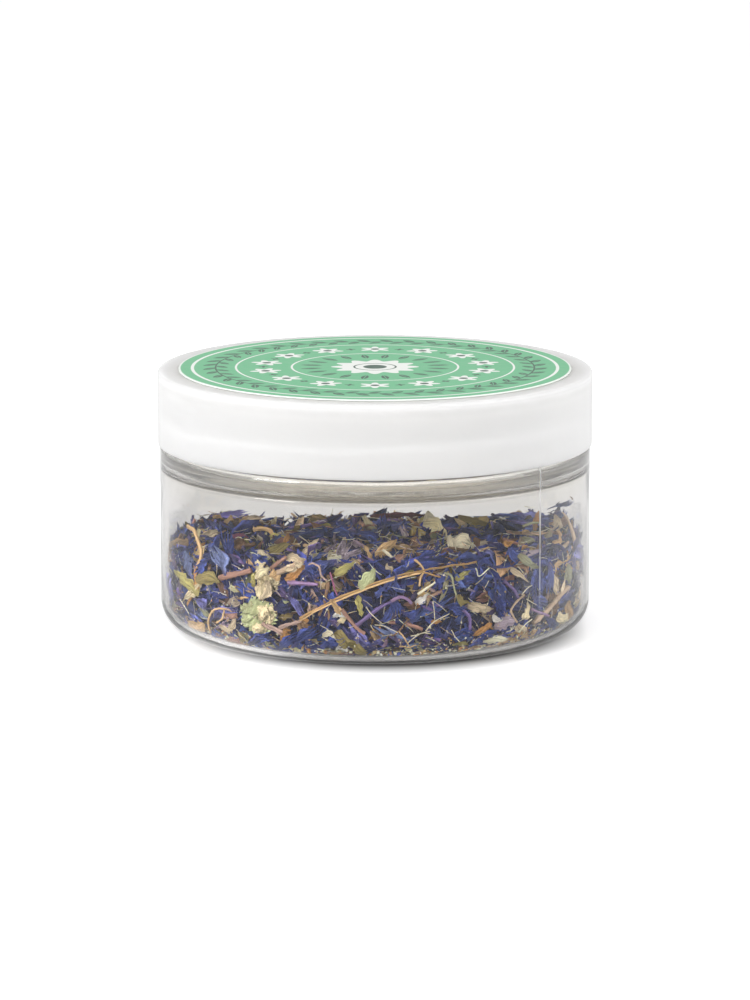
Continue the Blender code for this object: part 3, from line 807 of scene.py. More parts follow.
wallPieces = [
    ("petal", "violetBlue", 3.1, [(-177.5, 12.6), (-167.8, 10.4), (-160.8, 7.4)]),
    ("petal", "blue", 2.0, [(-162.4, 16.2), (-154.1, 19.3), (-147.5, 21.3)]),
    ("petal", "greyBlue", 3.8, [(-148.1, 14.4), (-151.6, 17.4), (-149.1, 20.2)]),
    ("petal", "greyBlue", 1.8, [(-134.5, 17.0), (-136.1, 19.7), (-138.5, 22.4)]),
    ("stalk", "tan", 0.9, [
        (-151.4, 25.0), (-148.0, 24.6), (-145.4, 22.2), (-144.4, 20.4), (-144.9, 18.7), (-146.5, 17.0),
    ]),
    ("petal", "blue", 1.8, [(-139.4, 19.4), (-143.5, 17.6), (-147.6, 15.8)]),
    ("stalk", "roseBrown", 1.3, [(-136.5, 15.9), (-130.7, 17.4), (-125.1, 18.8)]),
    ("stalk", "paleBrown", 1.2, [(-116.9, 19.0), (-113.3, 20.3), (-109.6, 21.6)]),
    ("stalk", "roseBrown", 0.8, [(-118.7, 19.9), (-116.3, 21.2), (-113.9, 22.4)]),
    ("bract", "pale", 1.2, [(-124.1, 19.9), (-121.9, 20.3), (-119.7, 20.5)]),
    ("bract", "tan", 0.9, [(-125.8, 21.2), (-124.8, 20.3), (-123.8, 19.3)]),
    ("petal", "blue", 1.7, [(-127.5, 19.2), (-123.2, 20.8), (-119.3, 21.8)]),
    ("bract", "beige", 1.6, [(-114.5, 21.7), (-111.6, 22.5), (-108.7, 22.0)]),
    ("bract", "beige", 1.7, [(-113.9, 19.7), (-111.3, 20.9), (-109.0, 21.4)]),
    ("bract", "orangeTan", 1.5, [(-113.9, 18.0), (-111.6, 19.0), (-109.6, 20.1)]),
    ("stalk", "violetPink", 1.0, [(-113.9, 17.1), (-109.3, 17.2), (-105.4, 17.2)]),
    ("stalk", "paleRose", 0.4, [(-108.7, 20.2), (-107.3, 21.5), (-105.3, 21.2), (-104.2, 19.3), (-102.6, 17.9)]),
    ("petal", "blue", 1.8, [(-109.9, 19.1), (-107.6, 20.0), (-105.4, 18.7)]),
    ("stalk", "rose", 0.4, [(-101.8, 19.8), (-101.0, 17.4), (-99.9, 15.1)]),
    ("bract", "limeOlive", 1.4, [(-100.7, 19.2), (-97.7, 21.2), (-95.0, 22.5)]),
    ("bract", "paleGreen", 2.3, [(-94.0, 16.7), (-91.8, 18.8), (-90.2, 20.4)]),
    ("bract", "roseBrown", 1.4, [(-84.4, 22.7), (-83.3, 22.9), (-82.5, 23.5)]),
    ("petal", "brightBlue", 1.6, [(-86.5, 21.3), (-85.4, 19.2), (-86.5, 16.7)]),
    ("petal", "brightBlue", 1.2, [(-85.7, 20.0), (-84.1, 17.7), (-82.5, 15.4)]),
    ("petal", "brightBlue", 1.0, [(-86.8, 17.9), (-88.6, 16.1), (-90.0, 14.8)]),
    ("petal", "brightBlue", 1.0, [(-84.9, 20.8), (-83.0, 21.4), (-82.2, 20.4)]),
    ("bract", "beige", 0.8, [(-87.0, 21.9), (-86.2, 20.8), (-85.7, 19.6)]),
    ("petal", "deepBlue", 1.6, [(-80.9, 21.2), (-76.3, 22.1), (-70.1, 22.8)]),
    ("petal", "deepBlue", 1.6, [(-80.3, 20.3), (-76.5, 21.0), (-72.1, 21.5)]),
    ("stalk", "tan", 0.5, [(-79.5, 22.4), (-77.9, 21.3), (-77.1, 20.0), (-77.9, 18.4), (-78.4, 17.1)]),
    ("stalk", "cream", 0.5, [(-78.7, 15.3), (-76.5, 16.4), (-74.0, 17.6)]),
    ("petal", "brightBlue", 1.4, [(-51.4, 22.9), (-50.0, 21.5), (-48.5, 19.8)]),
    ("petal", "brightBlue", 1.3, [(-51.7, 21.0), (-50.0, 21.9), (-47.8, 22.5)]),
    ("bract", "greyGreen", 1.8, [(-48.5, 21.5), (-44.7, 19.4), (-40.1, 17.6)]),
    ("petal", "blue", 2.0, [(-38.4, 19.9), (-36.0, 18.8), (-32.9, 17.5)]),
    ("petal", "blue", 3.4, [(-39.7, 19.3), (-40.5, 16.2), (-40.9, 11.8)]),
    ("petal", "blue", 3.8, [(-36.5, 18.4), (-35.9, 15.0), (-37.3, 11.8)]),
    ("petal", "violetBlue", 2.7, [(-16.7, 21.4), (-12.6, 17.2), (-1.2, 10.8)]),
    ("bract", "greyGreen", 3.5, [(-26.4, 16.2), (-24.3, 14.0), (-24.3, 12.1)]),
    ("bract", "tan", 1.3, [(-32.9, 16.3), (-27.8, 17.3), (-24.4, 18.9)]),
    ("bract", "beige", 2.6, [(-32.4, 15.1), (-30.6, 11.7), (-30.6, 9.1)]),
    ("bract", "beige", 1.3, [(-51.7, 18.9), (-48.5, 17.5), (-44.6, 15.4)]),
    ("stalk", "violet", 0.7, [(-53.1, 16.3), (-50.3, 14.5), (-48.1, 12.2)]),
    ("petal", "brightBlue", 1.7, [(-56.8, 17.5), (-56.8, 15.0), (-56.1, 12.0)]),
    ("petal", "brightBlue", 2.0, [(-54.5, 17.3), (-54.1, 14.5), (-54.4, 11.6)]),
    ("petal", "blue", 1.2, [(-62.4, 19.2), (-60.6, 20.7), (-58.1, 20.7), (-56.5, 19.3)]),
    ("petal", "blue", 1.3, [(-66.9, 15.9), (-65.7, 17.5), (-62.4, 17.9)]),
    ("bract", "limeOlive", 1.0, [(-68.4, 18.1), (-65.7, 18.4), (-62.7, 19.0)]),
    ("stalk", "greyGreen", 0.5, [(-71.5, 19.6), (-69.5, 18.6), (-68.6, 16.1), (-67.2, 12.8)]),
    ("hair", "cream", 0.4, [(-62.8, 20.1), (-61.2, 18.1), (-58.4, 19.7)]),
    ("hair", "cream", 0.4, [(-47.3, 13.0), (-45.4, 14.0), (-43.4, 14.6)]),
    ("hair", "cream", 0.3, [(-59.6, 15.6), (-59.0, 16.2), (-58.4, 17.0)]),
    ("hair", "cream", 0.3, [(-48.9, 19.0), (-47.8, 18.3), (-46.6, 17.3)]),
    ("petal", "violetBlue", 1.7, [(-148.8, 10.1), (-144.6, 10.0), (-140.9, 8.8)]),
    ("petal", "violetBlue", 1.2, [(-141.8, 8.9), (-135.4, 9.3), (-129.0, 10.2)]),
    ("bract", "greyGreen", 1.3, [(-148.2, 9.5), (-144.1, 8.4), (-140.4, 6.9)]),
    ("stalk", "tan", 0.5, [(-140.9, 3.5), (-140.9, 6.5), (-138.7, 8.9), (-134.2, 9.8), (-131.5, 9.5)]),
    ("stalk", "tan", 0.5, [(-134.2, 9.4), (-135.4, 7.6), (-137.4, 6.3)]),
    ("bract", "tan", 2.3, [(-151.8, 4.5), (-146.7, 4.2), (-141.8, 5.1)]),
    ("bract", "roseBrown", 1.6, [(-135.4, 7.8), (-132.7, 8.9), (-130.1, 8.2)]),
    ("bract", "beige", 1.5, [(-130.5, 8.3), (-131.9, 6.7), (-133.5, 5.2)]),
    ("bract", "beige", 2.0, [(-136.2, 5.8), (-134.6, 4.9), (-132.7, 3.9)]),
    ("bract", "roseBrown", 1.2, [(-141.8, 3.8), (-138.3, 3.4), (-135.4, 3.5)]),
    ("hair", "cream", 0.3, [(-129.8, 5.9), (-127.3, 4.0), (-124.3, 2.0)]),
    ("hair", "cream", 0.3, [(-155.8, 9.1), (-153.0, 8.0), (-150.0, 6.7)]),
    ("petal", "blue", 2.5, [(-126.3, 3.9), (-122.3, 4.3), (-117.6, 5.8)]),
    ("petal", "blue", 1.9, [(-116.7, 2.5), (-114.6, 4.3), (-109.9, 6.5)]),
    ("petal", "blue", 1.3, [(-119.1, 5.4), (-117.9, 3.4), (-116.4, 2.3)]),
    ("stalk", "paleRose", 0.7, [(-120.0, 7.9), (-117.6, 7.2), (-114.9, 6.6)]),
    ("bract", "orangeTan", 0.8, [(-115.2, 6.6), (-114.3, 7.1), (-112.8, 7.6)]),
    ("bract", "orangeTan", 0.9, [(-115.2, 6.6), (-115.2, 5.5), (-116.1, 4.6)]),
    ("bract", "orangeTan", 0.9, [(-115.2, 6.6), (-114.0, 6.0), (-113.4, 5.0)]),
    ("stalk", "paleRose", 0.9, [(-116.4, 7.5), (-113.1, 8.4), (-109.9, 9.4)]),
    ("bract", "orangeTan", 0.8, [(-110.5, 9.4), (-109.0, 9.7), (-107.6, 10.0)]),
    ("bract", "brown", 1.2, [(-110.2, 8.4), (-108.2, 8.3), (-105.9, 8.8)]),
    ("bract", "paleGreen", 1.0, [(-117.5, 11.9), (-115.1, 12.9), (-112.8, 13.2)]),
    ("petal", "violetBlue", 1.5, [(-113.6, 15.1), (-111.6, 12.9), (-108.7, 10.1)]),
    ("petal", "navy", 2.5, [(-117.9, 11.2), (-115.4, 12.0), (-112.8, 12.6)]),
    ("bract", "tan", 1.9, [(-101.8, 14.0), (-100.4, 13.0), (-98.3, 11.6)]),
    ("stalk", "roseBrown", 0.8, [(-98.8, 12.2), (-96.7, 10.2), (-94.5, 8.1), (-92.6, 7.3)]),
    ("bract", "pale", 1.0, [(-101.0, 8.4), (-99.4, 9.7), (-97.5, 10.6)]),
    ("bract", "white", 1.4, [(-101.5, 10.7), (-99.6, 11.1), (-97.7, 10.5)]),
    ("petal", "violet", 1.0, [(-102.9, 10.0), (-101.3, 9.6), (-99.6, 8.6)]),
    ("bract", "limeOlive", 1.2, [(-94.8, 15.2), (-94.0, 13.3), (-93.7, 10.6)]),
    ("hair", "cream", 0.3, [(-92.4, 12.9), (-91.0, 11.5), (-88.4, 9.6)]),
    ("hair", "cream", 0.3, [(-90.0, 9.2), (-87.0, 8.7), (-84.1, 7.4)]),
    ("stalk", "violet", 0.8, [(-95.0, 8.9), (-91.0, 11.3), (-88.1, 12.9), (-85.7, 14.0)]),
    ("stalk", "violetPink", 0.7, [(-85.7, 14.0), (-83.6, 14.8), (-81.7, 14.5), (-80.3, 13.4)]),
    ("petal", "blue", 2.1, [(-86.0, 14.4), (-84.6, 13.1), (-84.4, 10.8)]),
    ("petal", "blue", 1.6, [(-88.9, 10.0), (-87.0, 10.6), (-85.7, 12.5)]),
    ("petal", "violetBlue", 1.6, [(-98.5, 8.4), (-96.1, 6.4), (-93.2, 4.8), (-89.4, 3.3)]),
    ("petal", "violetBlue", 1.0, [(-90.8, 3.9), (-89.4, 5.4), (-88.1, 6.2)]),
    ("bract", "olive", 2.5, [(-101.3, 7.1), (-97.7, 5.5), (-94.5, 3.7), (-91.6, 3.3)]),
    ("bract", "cream", 1.2, [(-104.0, 6.6), (-102.1, 6.4), (-100.2, 6.1)]),
    ("bract", "white", 1.4, [(-98.8, 4.0), (-98.3, 3.4), (-97.5, 4.1)]),
    ("bract", "tan", 1.0, [(-103.7, 2.6), (-98.6, 2.1), (-93.2, 1.8)]),
    ("petal", "blue", 2.5, [(-113.1, 3.4), (-109.0, 6.1), (-105.4, 8.2)]),
    ("petal", "blue", 2.5, [(-106.0, 4.4), (-102.1, 4.6), (-97.7, 5.5)]),
    ("petal", "blue", 2.1, [(-109.1, 5.7), (-107.9, 3.7), (-107.1, 2.7)]),
    ("bract", "white", 1.4, [(-79.5, 13.6), (-77.6, 14.2), (-75.4, 14.9)]),
    ("bract", "roseBrown", 1.2, [(-81.7, 13.3), (-80.3, 13.0), (-79.0, 12.3)]),
    ("stalk", "brown", 0.3, [(-80.1, 10.9), (-82.2, 9.1), (-83.8, 7.7), (-85.7, 6.8)]),
    ("stalk", "tan", 0.3, [(-83.8, 7.7), (-82.2, 6.2), (-80.9, 4.4)]),
    ("hair", "cream", 0.4, [(-76.5, 7.6), (-74.3, 9.4), (-70.1, 10.9)]),
    ("hair", "cream", 0.3, [(-74.6, 13.8), (-74.3, 11.7), (-74.0, 9.6)]),
    ("hair", "cream", 0.3, [(-81.4, 5.3), (-79.2, 6.5), (-77.6, 7.3), (-75.4, 7.6)]),
    ("hair", "cream", 0.3, [(-80.6, 6.9), (-78.4, 6.9), (-75.1, 7.0)]),
    ("bract", "orangeTan", 0.8, [(-75.1, 9.7), (-73.7, 9.2), (-71.8, 9.1)]),
    ("petal", "violet", 0.6, [(-74.0, 8.8), (-75.7, 6.8), (-77.3, 5.2)]),
    ("bract", "greyGreen", 1.0, [(-79.2, 5.9), (-78.1, 3.9), (-75.7, 2.4), (-70.0, 1.7)]),
    ("stalk", "tan", 0.3, [(-83.6, 4.5), (-81.1, 4.2), (-79.0, 4.6)]),
    ("bract", "pale", 0.8, [(-82.2, 2.4), (-80.9, 3.2), (-80.0, 3.8)]),
    ("petal", "blue", 1.8, [(-83.0, 11.6), (-80.1, 11.1), (-76.8, 12.5)]),
    ("bract", "olive", 1.3, [(-68.1, 15.2), (-66.6, 13.2), (-63.0, 12.1)]),
    ("bract", "beige", 1.9, [(-64.2, 12.2), (-60.5, 11.3), (-56.1, 10.7)]),
    ("petal", "blue", 1.9, [(-71.5, 12.4), (-68.1, 11.8), (-64.2, 10.7)]),
    ("stalk", "violet", 0.7, [(-66.0, 11.3), (-64.2, 9.7), (-63.9, 7.1)]),
    ("petal", "deepBlue", 2.3, [(-57.1, 13.9), (-55.1, 11.4), (-53.0, 9.1)]),
    ("stalk", "paleBrown", 0.5, [(-46.2, 12.8), (-49.9, 11.1), (-50.9, 9.5), (-48.8, 7.2)]),
    ("bract", "mauveGrey", 2.5, [(-56.0, 7.3), (-52.7, 7.6), (-48.8, 7.6)]),
    ("bract", "white", 1.3, [(-57.0, 9.5), (-55.7, 8.6), (-54.0, 8.4)]),
    ("bract", "pale", 1.9, [(-46.1, 7.1), (-45.0, 8.7), (-44.2, 10.5)]),
    ("stalk", "violetPink", 0.6, [(-43.8, 9.4), (-40.0, 8.3), (-35.8, 6.9)]),
    ("bract", "orangeTan", 1.7, [(-62.7, 5.8), (-60.2, 6.6), (-57.3, 7.4)]),
    ("petal", "blue", 2.1, [(-63.0, 4.8), (-58.9, 5.3), (-54.7, 5.5)]),
    ("petal", "blue", 1.9, [(-65.4, 2.8), (-62.4, 3.4), (-58.9, 4.2)]),
    ("petal", "blue", 1.6, [(-69.2, 5.8), (-66.3, 6.7), (-62.4, 6.2)]),
    ("bract", "cream", 2.5, [(-60.5, 3.7), (-56.7, 3.6), (-53.0, 3.4), (-49.4, 2.8)]),
    ("bract", "beige", 1.7, [(-47.6, 6.7), (-46.5, 5.5), (-45.3, 4.5)]),
    ("stalk", "cream", 0.3, [(-48.4, 5.0), (-46.1, 6.3), (-43.3, 7.2)]),
    ("bract", "orangeTan", 1.1, [(-49.1, 2.8), (-47.2, 3.9), (-45.7, 4.7)]),
    ("bract", "tan", 1.3, [(-46.5, 4.8), (-44.9, 3.6), (-44.1, 2.2)]),
    ("bract", "tan", 0.9, [(-43.7, 2.6), (-41.6, 3.8), (-39.9, 4.7)]),
    ("bract", "goldTan", 3.0, [(-24.2, 8.2), (-23.4, 6.1), (-20.9, 4.0)]),
    ("bract", "pale", 1.9, [(-31.1, 6.2), (-26.8, 4.7), (-20.0, 3.2)]),
    ("petal", "deepBlue", 2.0, [(-37.2, 7.1), (-34.8, 5.5), (-32.7, 3.4)]),
    ("bract", "brown", 2.6, [(-33.3, 11.0), (-32.2, 8.3), (-32.2, 5.7)]),
    ("bract", "limeOlive", 1.2, [(-68.6, 3.9), (-66.3, 3.5), (-63.6, 3.5)]),
    ("hair", "cream", 0.3, [(-69.5, 7.3), (-68.3, 5.8), (-67.1, 4.8)]),
    ("hair", "cream", 0.3, [(-45.4, 11.9), (-43.4, 11.0), (-41.3, 10.1)]),
    ("hair", "cream", 0.3, [(-52.7, 5.7), (-50.9, 6.2), (-49.5, 6.6)]),
    ("petal", "blue", 2.5, [(-42.6, 12.2), (-40.0, 10.6), (-36.3, 9.1)]),
]

# Those on top of the heap: kind, tint, width, depth (y) and a line of (x, height) points.

topPieces = [
    ("bract", "maroon", 1.2, 33, [(-1.1, 16.5), (5.6, 16.8), (12.7, 17.1)]),
    ("petal", "blue", 2.1, -29, [(-30.2, 16.9), (-29.8, 21.5), (-30.8, 26.4)]),
    ("petal", "blue", 1.9, -21, [(-31.9, 23.5), (-33.2, 20.9), (-34.4, 19.2)]),
    ("stalk", "tan", 0.9, 2, [(-26.0, 19.7), (-24.1, 19.9), (-22.4, 19.5), (-21.4, 17.3), (-21.1, 15.8)]),
    ("bract", "orangeTan", 1.1, -14, [(-18.3, 22.4), (-18.7, 20.4), (-19.3, 18.7)]),
    ("bract", "olive", 1.9, -29, [(-23.4, 20.7), (-20.5, 21.6), (-17.6, 22.4)]),
    ("bract", "brown", 1.9, -19, [(-29.9, 19.7), (-28.2, 20.8), (-26.7, 21.0)]),
    ("bract", "tan", 0.9, 10, [(-29.0, 19.7), (-28.0, 20.3), (-26.7, 20.8)]),
    ("bract", "tan", 1.1, 10, [(-35.2, 21.7), (-34.0, 20.9), (-32.7, 20.0)]),
    ("bract", "tan", 1.1, 9, [(-32.8, 21.1), (-31.3, 20.7), (-30.1, 19.6)]),
    ("bract", "beige", 1.7, -3, [(-36.7, 18.8), (-35.0, 19.9), (-32.7, 20.1)]),
    ("bract", "rose", 1.1, -5, [(-30.5, 19.6), (-28.4, 19.8), (-26.5, 19.2)]),
    ("petal", "navy", 2.1, -12, [(-24.6, 21.8), (-22.9, 20.3), (-22.1, 17.7)]),
    ("hair", "cream", 0.3, -11, [(-15.8, 21.2), (-14.8, 20.2), (-13.5, 18.7)]),
    ("bract", "beige", 1.7, -29, [(-15.7, 19.5), (-13.7, 21.6), (-11.8, 23.5)]),
    ("petal", "violet", 1.1, -30, [(-14.3, 20.4), (-13.0, 21.7), (-11.4, 23.8)]),
    ("petal", "mauveGrey", 0.6, -27, [(-8.7, 17.4), (-8.5, 21.4), (-8.5, 25.2)]),
    ("petal", "mauveGrey", 1.1, -34, [(-8.4, 19.0), (-7.4, 21.9), (-6.4, 24.9)]),
    ("petal", "mauveGrey", 1.1, -34, [(-8.2, 19.0), (-6.4, 21.9), (-4.5, 24.5)]),
    ("petal", "mauveGrey", 1.1, -40, [(-7.8, 20.3), (-5.3, 22.4), (-2.9, 24.1)]),
    ("petal", "mauveGrey", 0.6, -27, [(-8.5, 18.5), (-9.3, 21.5), (-9.1, 24.0)]),
    ("bract", "tan", 0.9, -34, [(-2.3, 23.6), (-1.2, 21.9), (0.0, 20.0)]),
    ("bract", "tan", 2.3, -27, [(-0.4, 19.1), (2.1, 21.4), (4.8, 23.8)]),
    ("stalk", "cream", 0.6, -36, [(1.6, 23.1), (2.9, 22.1), (4.1, 20.6)]),
    ("petal", "violet", 1.3, -39, [(-3.5, 23.7), (-1.6, 22.3), (0.6, 21.0)]),
    ("petal", "deepBlue", 1.5, -34, [(6.6, 20.5), (9.5, 21.9), (11.5, 23.8)]),
    ("petal", "deepBlue", 1.7, -39, [(6.8, 20.8), (10.2, 22.3), (13.9, 24.4)]),
    # Painted light: the pale and cream bracts in these rows are given paler tints than their own, to make up for the
    # lid's shade over them.
    ("bract", "pale", 2.8, 13, [(10.8, 19.3), (13.2, 18.4), (16.2, 14.9)]),
    ("bract", "cream", 1.7, 28, [(10.5, 16.2), (12.0, 17.3), (13.1, 18.4)]),
    ("bract", "olive", 1.7, 17, [(18.6, 19.4), (21.9, 18.5), (25.8, 17.2)]),
    ("bract", "cream", 3.4, -17, [(16.3, 20.2), (18.4, 20.7), (20.7, 19.6)]),
    ("bract", "cream", 1.5, -22, [(15.2, 23.0), (16.0, 21.1), (16.7, 19.4)]),
    ("bract", "brown", 1.5, -17, [(21.1, 21.5), (21.3, 20.7), (21.6, 19.4)]),
    ("stalk", "tan", 0.3, -32, [(18.8, 21.0), (21.2, 21.8), (23.3, 22.9)]),
    ("stalk", "cream", 0.3, -32, [(18.8, 21.0), (20.8, 21.8), (23.5, 22.2)]),
    ("petal", "navy", 1.9, -2, [(16.4, 21.0), (19.8, 19.7), (23.6, 17.7)]),
    ("petal", "blue", 1.5, -12, [(22.9, 19.0), (24.0, 20.3), (25.0, 21.4)]),
    ("bract", "brown", 1.1, -10, [(26.4, 18.9), (27.0, 20.2), (27.2, 21.7)]),
    ("bract", "orangeTan", 1.1, -19, [(27.0, 21.7), (27.6, 20.8), (29.0, 21.4)]),
    ("bract", "orangeTan", 1.1, -24, [(29.5, 20.3), (30.4, 21.2), (31.2, 21.8)]),
    ("bract", "greyGreen", 1.5, -14, [(31.3, 21.5), (32.1, 20.5), (33.2, 19.6)]),
    ("stalk", "greyGreen", 0.6, 2, [(31.6, 20.4), (33.3, 21.1), (35.0, 21.3)]),
    ("bract", "orangeTan", 1.3, 4, [(34.2, 19.2), (34.6, 21.4), (35.2, 23.6)]),
    ("bract", "beige", 1.9, 2, [(38.4, 23.1), (39.0, 21.0), (38.6, 19.0)]),
    ("bract", "tan", 1.3, -17, [(37.9, 23.5), (38.1, 20.7), (38.3, 17.9)]),
    ("petal", "blue", 0.9, 9, [(37.1, 22.8), (39.7, 23.2), (41.9, 24.1), (42.7, 24.9)]),
    ("stalk", "roseBrown", 0.3, 6, [(42.6, 25.3), (42.4, 25.7), (41.9, 26.2)]),
    ("petal", "navy", 0.9, 17, [(37.6, 20.4), (39.6, 21.5), (40.9, 22.6)]),
    ("bract", "brown", 0.9, -24, [(32.9, 19.9), (33.9, 21.2), (34.7, 22.3)]),
]




def plantMaterial(name, look):
    # One material for each kind of dried piece: its own tint, streaked lengthwise, mottled and creased, with painted
    # light along its side edges.
    material, tree, shader = newMaterial(name)
    tint = put(tree, "Attribute", {}, attribute_name="tint").outputs["Color"]
    own = put(tree, "UVMap", {}, uv_map="UVMap").outputs[0]
    streaks = noise(tree, own, 1.0, 3, 0.6, stretch=(look["veins"], look["veinsAlong"], 1))
    mottle = noise(tree, place(tree), look["mottle"], 4, 0.65)
    dark, light = look["contrast"]
    shades = ramp(tree, streaks, [(0.28, (dark,) * 3), (0.72, (light,) * 3)])
    colour = mixColour(tree, 1.0, tint, shades, "MULTIPLY")
    spots = times(tree, between(tree, mottle, 0.52, 0.72), look["spots"])
    colour = mixColour(tree, spots, colour, look["spotColour"])
    acrossPiece, alongPiece, _ = put(tree, "SeparateXYZ", {0: own}).outputs
    # Painted light: each piece is lighter towards its side edges, for light shining through the thin edges.
    sideways = calc(tree, "ABSOLUTE", calc(tree, "SUBTRACT", calc(tree, "FRACT", acrossPiece), 0.5))
    colour = dimmed(tree, colour, between(tree, sideways, 0.3, 0.5, 1.0, look["edge"]))
    foot = between(tree, calc(tree, "FRACT", alongPiece), 0.0, 0.4, look["foot"], 0.0)
    feed(tree, shader, "Base Color", mixColour(tree, foot, colour, look["footColour"]))
    low, high = look["rough"]
    feed(tree, shader, "Roughness", between(tree, streaks, 0.3, 0.7, low, high, "LINEAR"))
    shader.inputs["Specular IOR Level"].default_value = look["gloss"]
    height = calc(tree, "ADD", streaks, times(tree, mottle, 0.6))
    bump(tree, shader, height, look["relief"] * mm, 0.9)
    return material


# "edge" is the painted light along a piece's side edges; "foot" is its own colour at the base.
petalLook = {
    "veins": 10, "veinsAlong": 1.4, "contrast": (0.32, 1.5), "edge": 1.4,
    "mottle": 420, "spots": 0.25, "spotColour": (0.012, 0.014, 0.03),
    "foot": 0.35, "footColour": (0.20, 0.13, 0.26), "rough": (0.52, 0.72), "gloss": 0.35, "relief": 1.1,
}
leafLook = {
    "veins": 8, "veinsAlong": 1.0, "contrast": (0.44, 1.38), "edge": 1.1,
    "mottle": 350, "spots": 0.35, "spotColour": (0.16, 0.09, 0.05),
    "foot": 0.3, "footColour": (0.22, 0.13, 0.07), "rough": (0.58, 0.78), "gloss": 0.3, "relief": 1.0,
}
stalkLook = {
    "veins": 7, "veinsAlong": 0.8, "contrast": (0.56, 1.3), "edge": 1.0,
    "mottle": 500, "spots": 0.25, "spotColour": (0.12, 0.07, 0.045),
    "foot": 0.2, "footColour": (0.2, 0.12, 0.08), "rough": (0.5, 0.7), "gloss": 0.3, "relief": 0.2,
}
petalCover = plantMaterial("driedPetal", petalLook)
leafCover = plantMaterial("driedLeaf", leafLook)
stalkCover = plantMaterial("driedStalk", stalkLook)
print("plant materials made")


def lineAt(line, share):
    # A smooth curve through the line's points.
    line = np.asarray(line, float)
    place = np.clip(share, 0, 1) * (len(line) - 1)
    step = np.minimum(place.astype(int), len(line) - 2)
    part = (place - step)[..., None]
    ends = np.concatenate([[2 * line[0] - line[1]], line, [2 * line[-1] - line[-2]]])
    a, b, c, d = (ends[step + i] for i in range(4))
    return 0.5 * (2 * b + (c - a) * part + (2 * a - 5 * b + 4 * c - d) * part**2 + (3 * b - a - 3 * c + d) * part**3)


def laidAlong(template, line, width, bow, draw):
    # The template on a line in its own plane: returns (across, up) and how far it stands out.
    flat = template["points"]
    heading = lineAt(line, flat[:, 1] + 0.02) - lineAt(line, flat[:, 1] - 0.02)
    heading /= np.maximum(np.linalg.norm(heading, axis=1, keepdims=True), 1e-9)
    side = np.stack([heading[:, 1], -heading[:, 0]], axis=1)
    ragged = raggedWidth(template, draw, 1, layForm["ragged"])[0]
    flatPlace = lineAt(line, flat[:, 1]) + side * (ragged[:, None] * width)
    return flatPlace, flat[:, 2] * width + bow * width * (0.25 - flat[:, 0] ** 2) * 4


def wallLine(line):
    return [(math.radians(angle) * bedForm["lines"], float(upWall(height))) for angle, height in line]


fineKinds = {"petal": "finePetal", "bract": "fineBract", "stalk": "fineStalk", "hair": "fineHair"}
layForm = {
    "hairWidth": 0.75, "sheetWidth": 1.1, "thinCrumple": 0.09, "wallCrumple": 0.3, "topCrumple": 0.32,
    "crumpleSize": 4.0, "ragged": 0.13,
}


def setPieces(draw):
    # Lays every row of the two lists. Also returns where the wall is covered: across, up and half a width.
    groups = {kind: [] for kind in fineKinds}
    covered = []
    for kind, tint, width, line in wallPieces:
        template = templates[fineKinds[kind]]
        thin = kind in ("stalk", "hair")
        line = wallLine(line)
        width = width * (layForm["hairWidth"] if kind == "hair" else 1)
        bow = 0.0 if thin else draw.uniform(-0.22, 0.3)
        flatPlace, out = laidAlong(template, line, width * (1 if thin else layForm["sheetWidth"]), bow, draw)
        depth = {"hair": 0.15, "stalk": width / 2 + 0.15}.get(kind, draw.uniform(0.3, 0.9))
        points = onWall(flatPlace[:, 0] / bedForm["lines"], flatPlace[:, 1], out - depth)[None]
        crumple = layForm["thinCrumple"] if thin else layForm["wallCrumple"]
        points = crumpled(points, draw, crumple, layForm["crumpleSize"])
        points = keptInside(points, 0.0 if kind == "hair" else 0.08)
        groups[kind].append((template, points, np.array([tints[tint]]) * draw.uniform(0.9, 1.1)))
        if kind != "hair":
            covered += [(*lineAt(line, share), width / 2) for share in np.linspace(0.05, 0.95, 7)]
    for kind, tint, width, depth, line in topPieces:
        template = templates[fineKinds[kind]]
        thin = kind in ("stalk", "hair")
        bow = 0.0 if thin else draw.uniform(-0.3, 0.35)
        flatPlace, out = laidAlong(template, line, width * (1 if thin else layForm["sheetWidth"]), bow, draw)
        lean = (template["points"][:, 1] - 0.5) * draw.uniform(-1.5, 1.5)
        points = np.stack([flatPlace[:, 0], depth - out + lean, flatPlace[:, 1]], axis=1)[None]
        crumple = layForm["thinCrumple"] if thin else layForm["topCrumple"]
        points = crumpled(points, draw, crumple, layForm["crumpleSize"])
        points = keptInside(points, 0.1)
        groups[kind].append((template, points, np.array([tints[tint]]) * draw.uniform(0.85, 1.1)))
    return groups, np.array(covered)


draw = np.random.default_rng(41)
placed, covered = setPieces(draw)
assembled("standOutPetals", placed["petal"], petalCover, draw)
assembled("standOutBracts", placed["bract"], leafCover, draw)
assembled("standOutStalks", placed["stalk"], stalkCover, draw)
assembled("standOutHairs", placed["hair"], stalkCover, draw)


# The mass of loose pieces behind and between them.

scatterForm = {"topReach": 42.6, "floorReach": 41.5, "heapEdge": 43.0, "roomAround": 1.1, "bottom": -1.35}


def tipped(points, draw, form):
    for axis in (1, 0):
        points = spun(points, axis, draw.normal(0, form.get("lean", 0.5), (len(points), 1)))
    return points


